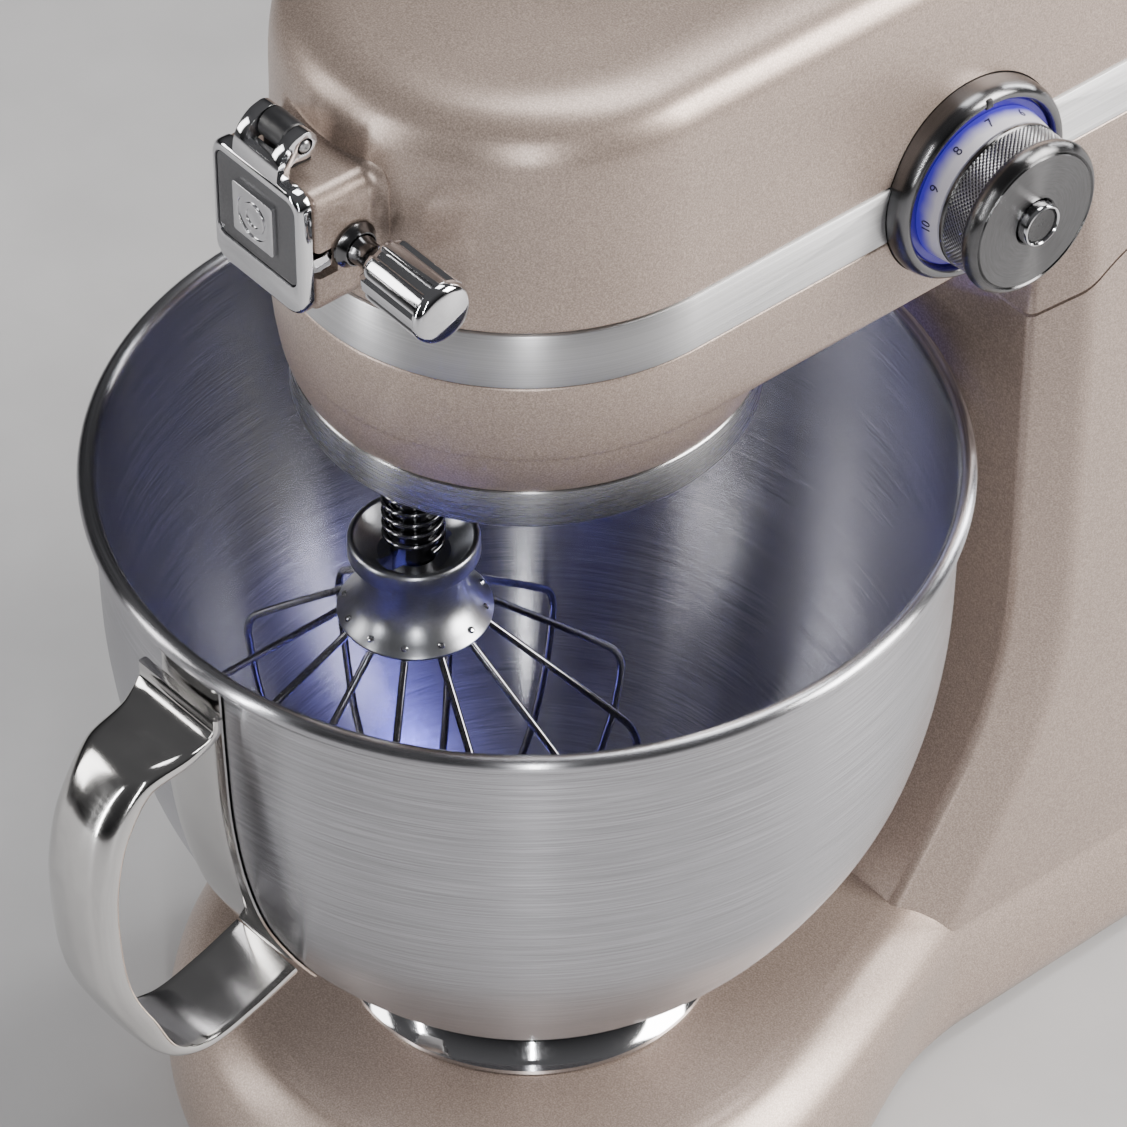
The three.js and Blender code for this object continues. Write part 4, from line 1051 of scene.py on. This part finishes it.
arm_side += arc((HINGE_Y, HINGE_Z), 3.8, -80, 80, 16)
slot_half = 4.9
arms = cut(
    prism(arm_side, "x", -8.4, 8.4),
    block(-slot_half, slot_half, COVER_FRONT - 1, HINGE_Y + 6, RIM_Z + 138.6, RIM_Z + 150),
    rod(5, -slot_half, slot_half, HINGE, "x", 48),
)
hook_side = [
    (-79, RIM_Z + 111.2), (-75.6, RIM_Z + 110.2), (-73.2, RIM_Z + 110.4), (-72.6, RIM_Z + 111.2),
    (-72.6, RIM_Z + 114), (-73.6, RIM_Z + 115.2), (-74.8, RIM_Z + 114.4), (-79, RIM_Z + 114.8),
]
cover = joined(cover, arms, prism(hook_side, "x", 15.4, 16.8))
cover = cut(
    cover,
    prism(rounded_box(15.2, RIM_Z + 106.2, RIM_Z + 131.7, 3.2), "y", COVER_FRONT - 1, COVER_FRONT + 1.4),
    rod(2.2, -20, 20, HINGE, "x"),
)
piece(cover, "cover_frame", "hub_cover", chrome, ["hub_cover"], smooth=32, bevel=0.3)

inset_plate = prism(
    rounded_box(14.9, RIM_Z + 106.5, RIM_Z + 131.4, 3), "y", COVER_FRONT + 0.5, COVER_FRONT + 1.3,
)
piece(inset_plate, "cover_plate", "hub_cover", satin, ["hub_cover_inset"], bevel=0.15)

badge_z = RIM_Z + 119.3
badge = prism(
    rounded_box(7.5, badge_z - 7.3, badge_z + 7.3, 0.7), "y", COVER_FRONT - 0.9, COVER_FRONT + 0.5,
)
badge = cut(
    badge,
    lathe([(0, -83.5), (2.6, -83.5), (2.6, -82.5), (0, -82.5)], (0, 0, badge_z), "y", 64),
    lathe([(4.2, -83.5), (5.9, -83.5), (5.9, -82.5), (4.2, -82.5)], (0, 0, badge_z), "y", 64),
)
piece(badge, "cover_badge", "hub_cover", chrome, ["hub_cover_badge"], bevel=0.15)

barrel = joined(
    lathe([(1.9, -4.6), (3.6, -4.6), (4, -4.2), (4, 4.2), (3.6, 4.6), (1.9, 4.6)], HINGE, "x", 48),
    cut(block(-4.6, 4.6, -75.4, -68.5, RIM_Z + 132.9, HINGE_Z), rod(3, -20, 20, HINGE, "x")),
)
piece(barrel, "hinge_barrel", "head", plastic, ["hub_hinge_barrel"], bevel=0.3)
pin_profile = [
    (0, -8.8), (1.2, -8.8), (1.6, -8.5), (1.6, 8.5), (1.2, 8.8), (0.6, 8.8), (0.4, 8.4), (0, 8.4),
]
pin = lathe(pin_profile, HINGE, "x", 32)
piece(pin, "hinge_pin_front", "head", machined, ["hub_hinge_pin"])

stem_neck = spline([(4, 20.8), (3.7, 22), (3.5, 23.6), (3.7, 25.2), (4.5, 27), (5, 28.2)], 6)
stem_profile = [(0, 15.8), (4, 15.8), *map(tuple, stem_neck), (5, 28.6), (0, 28.6)]
thumb_centre = (0, THUMB_Y, THUMB_Z)
piece(
    lathe(stem_profile, thumb_centre, "x", 48), "screw_stem", "thumb_screw", dark_chrome,
    ["thumb_screw_stem"], smooth=45,
)
washer_profile = [
    (4.3, 17.9), (5.9, 17.9), (6.2, 18.2), (6.1, 18.7), (5.5, 19.3), (5, 20), (4.6, 20.8), (4.3, 20.8),
]
piece(
    lathe(washer_profile, thumb_centre, "x", 48), "screw_washer", "thumb_washer",
    dark_chrome, ["thumb_screw_washer"],
)


KNOB_RADIUS, FLUTES, FLUTE_DEPTH = 8.25, 8, 1.05
KNOB_STEPS = 192


knob_rings = []
for x, scale in [(28.9, 0.74), (29.1, 0.86), (29.8, 0.94), (30.8, 0.985), (31.8, 1), (50, 1)]:
    ring = []
    for k in range(KNOB_STEPS):
        a = 2 * math.pi * k / KNOB_STEPS
        # Broad lands, with a groove between each two.
        groove = 1 - min(1, max(0, math.cos(FLUTES * a) * 1.5 + 0.7))
        radius = KNOB_RADIUS - FLUTE_DEPTH * groove
        ring.append((x, THUMB_Y + radius * scale * math.cos(a), THUMB_Z + radius * scale * math.sin(a)))
    knob_rings.append(ring)
nose_profile = [
    (0, 49.6), (8.2, 49.6), (8.2, 50.4), (7.9, 51.3), (7.2, 52), (6.4, 52.3), (5.6, 52.5), (3.6, 53),
    (1.6, 53.3), (0, 53.4),
]
knob = joined(loft(knob_rings), lathe(nose_profile, thumb_centre, "x", 96))
piece(knob, "screw_knob", "thumb_screw", chrome, ["thumb_screw_knob"], smooth=38)

# ---------------- speed dial

bezel_profile = [
    (5.4, 58), (27.7, 58), (27.7, 65.8), (27.5, 66.8), (27.1, 67.8), (26.5, 68.7), (25.8, 69.2),
    (25.1, 69.4), (24.5, 69.3), (24.1, 68.8), (23.9, 67.6), (23.8, 65.6), (5.4, 65.6),
]
piece(
    lathe(bezel_profile, DIAL, "x", 128), "dial_rim", "head", bezel_steel, ["dial_bezel"],
    smooth=50,
)
glow_profile = [(19.6, 66), (23.5, 66), (23.5, 67), (23.1, 67.4), (19.6, 67.4)]
piece(lathe(glow_profile, DIAL, "x", 128), "dial_light", "head", glow, ["dial_glow_ring"])
pointer = prism([(-1.3, 23.9), (1.3, 23.9), (0.8, 26.6), (-0.8, 26.6)], "x", 68.6, 69.6)
pointer.data.transform(Matrix.Translation((0, DIAL_Y / 1000, DIAL_Z / 1000)))
piece(pointer, "dial_pointer", "head", plastic, bevel=0.3)

cone_profile = [(5.4, NUMBERS_FOOT), (21.4, NUMBERS_FOOT), (20.4, NUMBERS_TOP), (5.4, NUMBERS_TOP)]
piece(
    lathe(cone_profile, DIAL, "x", 128), "dial_numbers", "dial", number_face,
    ["dial_number_ring"],
)

DIGIT_STEP = 30
cone_lean = math.atan2(1, NUMBERS_TOP - NUMBERS_FOOT)
for number in range(11):
    curve = bpy.data.curves.new("digit", "FONT")
    curve.body = str(number)
    curve.size = 0.0036
    curve.extrude = 0.00006
    curve.align_x = "CENTER"
    curve.align_y = "CENTER"
    flat = placed("digit", curve)
    bpy.context.view_layer.update()
    graph = bpy.context.evaluated_depsgraph_get()
    mesh = bpy.data.meshes.new_from_object(flat.evaluated_get(graph))
    bpy.data.objects.remove(flat)
    digit = placed("digit", mesh)
    # The text's right goes round the cone, its up climbs the cone towards the head, and it faces out.
    out = Vector((math.sin(cone_lean), 0, math.cos(cone_lean)))
    up = Vector((-math.cos(cone_lean), 0, math.sin(cone_lean)))
    right = up.cross(out)
    frame_matrix = Matrix((right, up, out)).transposed().to_4x4()
    lift = Matrix.Translation((0.0709, 0, 0.02095))
    turn = Matrix.Rotation(math.radians(DIGIT_STEP * (7 - number) - 3), 4, "X")
    middle = Matrix.Translation((0, (DIAL_Y + AXIS_Y) / 1000, DIAL_Z / 1000))
    mesh.transform(middle @ turn.inverted() @ lift @ frame_matrix)
    piece(digit, f"digit_{number}", "dial", ink)


def knurled(x0, x1, radius, teeth, rows):
    """A barrel with a diamond pattern pressed into it."""
    rings = []
    count = teeth * 4
    for row in range(rows * 4 + 1):
        x = x0 + (x1 - x0) * row / (rows * 4)
        ring = []
        for k in range(count):
            a = 2 * math.pi * k / count
            u, v = k / 4, row / 4
            height = abs(((u + v) % 1) - 0.5) + abs(((u - v) % 1) - 0.5)
            r = radius - GRIP_DEPTH * (1 - height)
            ring.append((x, DIAL_Y + r * math.cos(a), DIAL_Z + r * math.sin(a)))
        rings.append(ring)
    return loft(rings)


knob_profile = [
    (0, 75), (19.2, 75), (19.2, 82.4), (19.9, 82.6), (20.7, 83.4), (21.1, 84.2), (21.2, 85), (21, 85.8),
    (20.5, 86.5), (19.7, 87.2), (19.2, 87.4), (18.9, 87.1), (18.7, 87), (18.4, 87.4), (6.6, 87.4),
    (6.3, 87.1), (6.2, 82.2), (0, 82.2),
]
grip = cut(knurled(75.4, 82.6, GRIP_RADIUS, 92, 6), rod(7, 80, 84, DIAL, "x"))
piece(grip, "dial_knurl", "dial", knurl_steel, smooth=12)
knob = joined(
    lathe(knob_profile, DIAL, "x", 128),
    lathe([(0, 74.6), (20.1, 74.6), (20.4, 74.9), (20.3, 75.5), (19.8, 75.9), (0, 75.9)], DIAL, "x", 128),
    rod(5, 47, 76, DIAL, "x"),
)
piece(knob, "dial_grip", "dial", dial_steel, ["dial_knob"], smooth=24)
button_ring = [
    (4.9, 84.2), (5.9, 84.2), (5.9, 88.8), (5.8, 89.5), (5.5, 90), (5.2, 90.1), (4.95, 89.8), (4.9, 89.2),
]
piece(lathe(button_ring, DIAL, "x", 64), "button_rim", "pulse_button", chrome)
button_cap = [(0, 84.3), (4.8, 84.3), (4.8, 89.1), (4.4, 89.4), (2, 89.2), (0, 89.1)]
piece(
    lathe(button_cap, DIAL, "x", 64), "button_cap", "pulse_button", black_cap,
    ["pulse_button"],
)

# ---------------- floor, light and camera

floor_look = Look("floor", (0.5, 0.495, 0.5), roughness=0.62)
speckle = floor_look.noise(floor_look.place(), 18, 5)
floor_look.link(
    floor_look.ramp(speckle, [(0.3, (0.47, 0.465, 0.47)), (0.7, (0.53, 0.525, 0.53))]), "Base Color",
)
floor_mesh = bpy.data.meshes.new("floor")
floor_mesh.from_pydata([(-6, -6, 0), (6, -6, 0), (6, 6, 0), (-6, 6, 0)], [], [(0, 1, 2, 3)])
floor = placed("floor", floor_mesh)
floor_mesh.materials.append(floor_look.material)

RIM_CENTRE = Vector((0, AXIS_Y, RIM_Z)) / 1000


def softbox(name, direction, distance, size, power, colour=(1, 1, 1), target=RIM_CENTRE):
    """A square area light that faces the object."""
    light = bpy.data.lights.new(name, "AREA")
    light.shape = "RECTANGLE"
    light.size, light.size_y = size
    light.energy = power
    light.color = colour
    lamp = placed(name, light)
    way = Vector(direction).normalized()
    lamp.location = target + way * distance
    lamp.rotation_euler = way.to_track_quat("Z", "Y").to_euler()
    return lamp


softbox("key_right", (0.75, 0.7, 0.5), 1.5, (0.7, 0.8), 40, (1, 0.97, 0.93))
softbox("left_front", (-0.75, -0.8, 0.42), 1.5, (0.3, 0.8), 6, (1, 0.98, 0.96))
softbox("top", (-0.1, 0.35, 1.0), 1.5, (0.8, 0.5), 11)
softbox("strip_front", (0.79, -0.62, 0.4), 1.9, (0.045, 1.3), 15)
softbox("strip_left", (-0.25, -1.0, 0.25), 1.7, (0.09, 1.2), 13)
softbox("strip_back", (0.1, 1.0, 0.35), 1.7, (0.2, 1.0), 14)
bowl_lamp = softbox(
    "bowl_light", (0, 0.12, 1.0), 0.042, (0.02, 0.02), 0.22, (0.22, 0.22, 1.0),
    RIM_CENTRE + Vector((0, 0.08, 0)),
)
bowl_lamp.data.spread = math.radians(84)
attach(bowl_lamp, "head")

world = bpy.data.worlds.new("studio")
bpy.context.scene.world = world
world.use_nodes = True
sky = world.node_tree
coordinates = sky.nodes.new("ShaderNodeTexCoord")
height = sky.nodes.new("ShaderNodeSeparateXYZ")
sky.links.new(coordinates.outputs["Generated"], height.inputs[0])
fade = sky.nodes.new("ShaderNodeValToRGB")
fade.color_ramp.elements[0].position = 0.0
fade.color_ramp.elements[0].color = (0.03, 0.03, 0.033, 1)
fade.color_ramp.elements[1].position = 0.8
fade.color_ramp.elements[1].color = (0.35, 0.35, 0.36, 1)
sky.links.new(height.outputs["Z"], fade.inputs["Fac"])
sky.links.new(fade.outputs[0], sky.nodes["Background"].inputs["Color"])
sky.nodes["Background"].inputs["Strength"].default_value = 0.3

camera_data = bpy.data.cameras.new("camera")
camera_data.sensor_width = 36
camera_data.lens = 201.9
camera_data.clip_end = 50
camera = placed("camera", camera_data)
# The camera stands this way from the rim's centre, and aims a little right of it and below it.
view_back = Vector((0.5783, -0.4757, 0.6629)).normalized()
AIM_RIGHT, AIM_BELOW = 0.005669, 0.017981
CAMERA_DISTANCE = 1.6
view_right = Vector((0, 0, 1)).cross(view_back).normalized()
view_up = view_back.cross(view_right)
look_way = view_right * AIM_RIGHT - view_up * AIM_BELOW - view_back
camera.location = RIM_CENTRE + view_back * CAMERA_DISTANCE
camera.rotation_euler = look_way.to_track_quat("-Z", "Y").to_euler()
bpy.context.scene.camera = camera
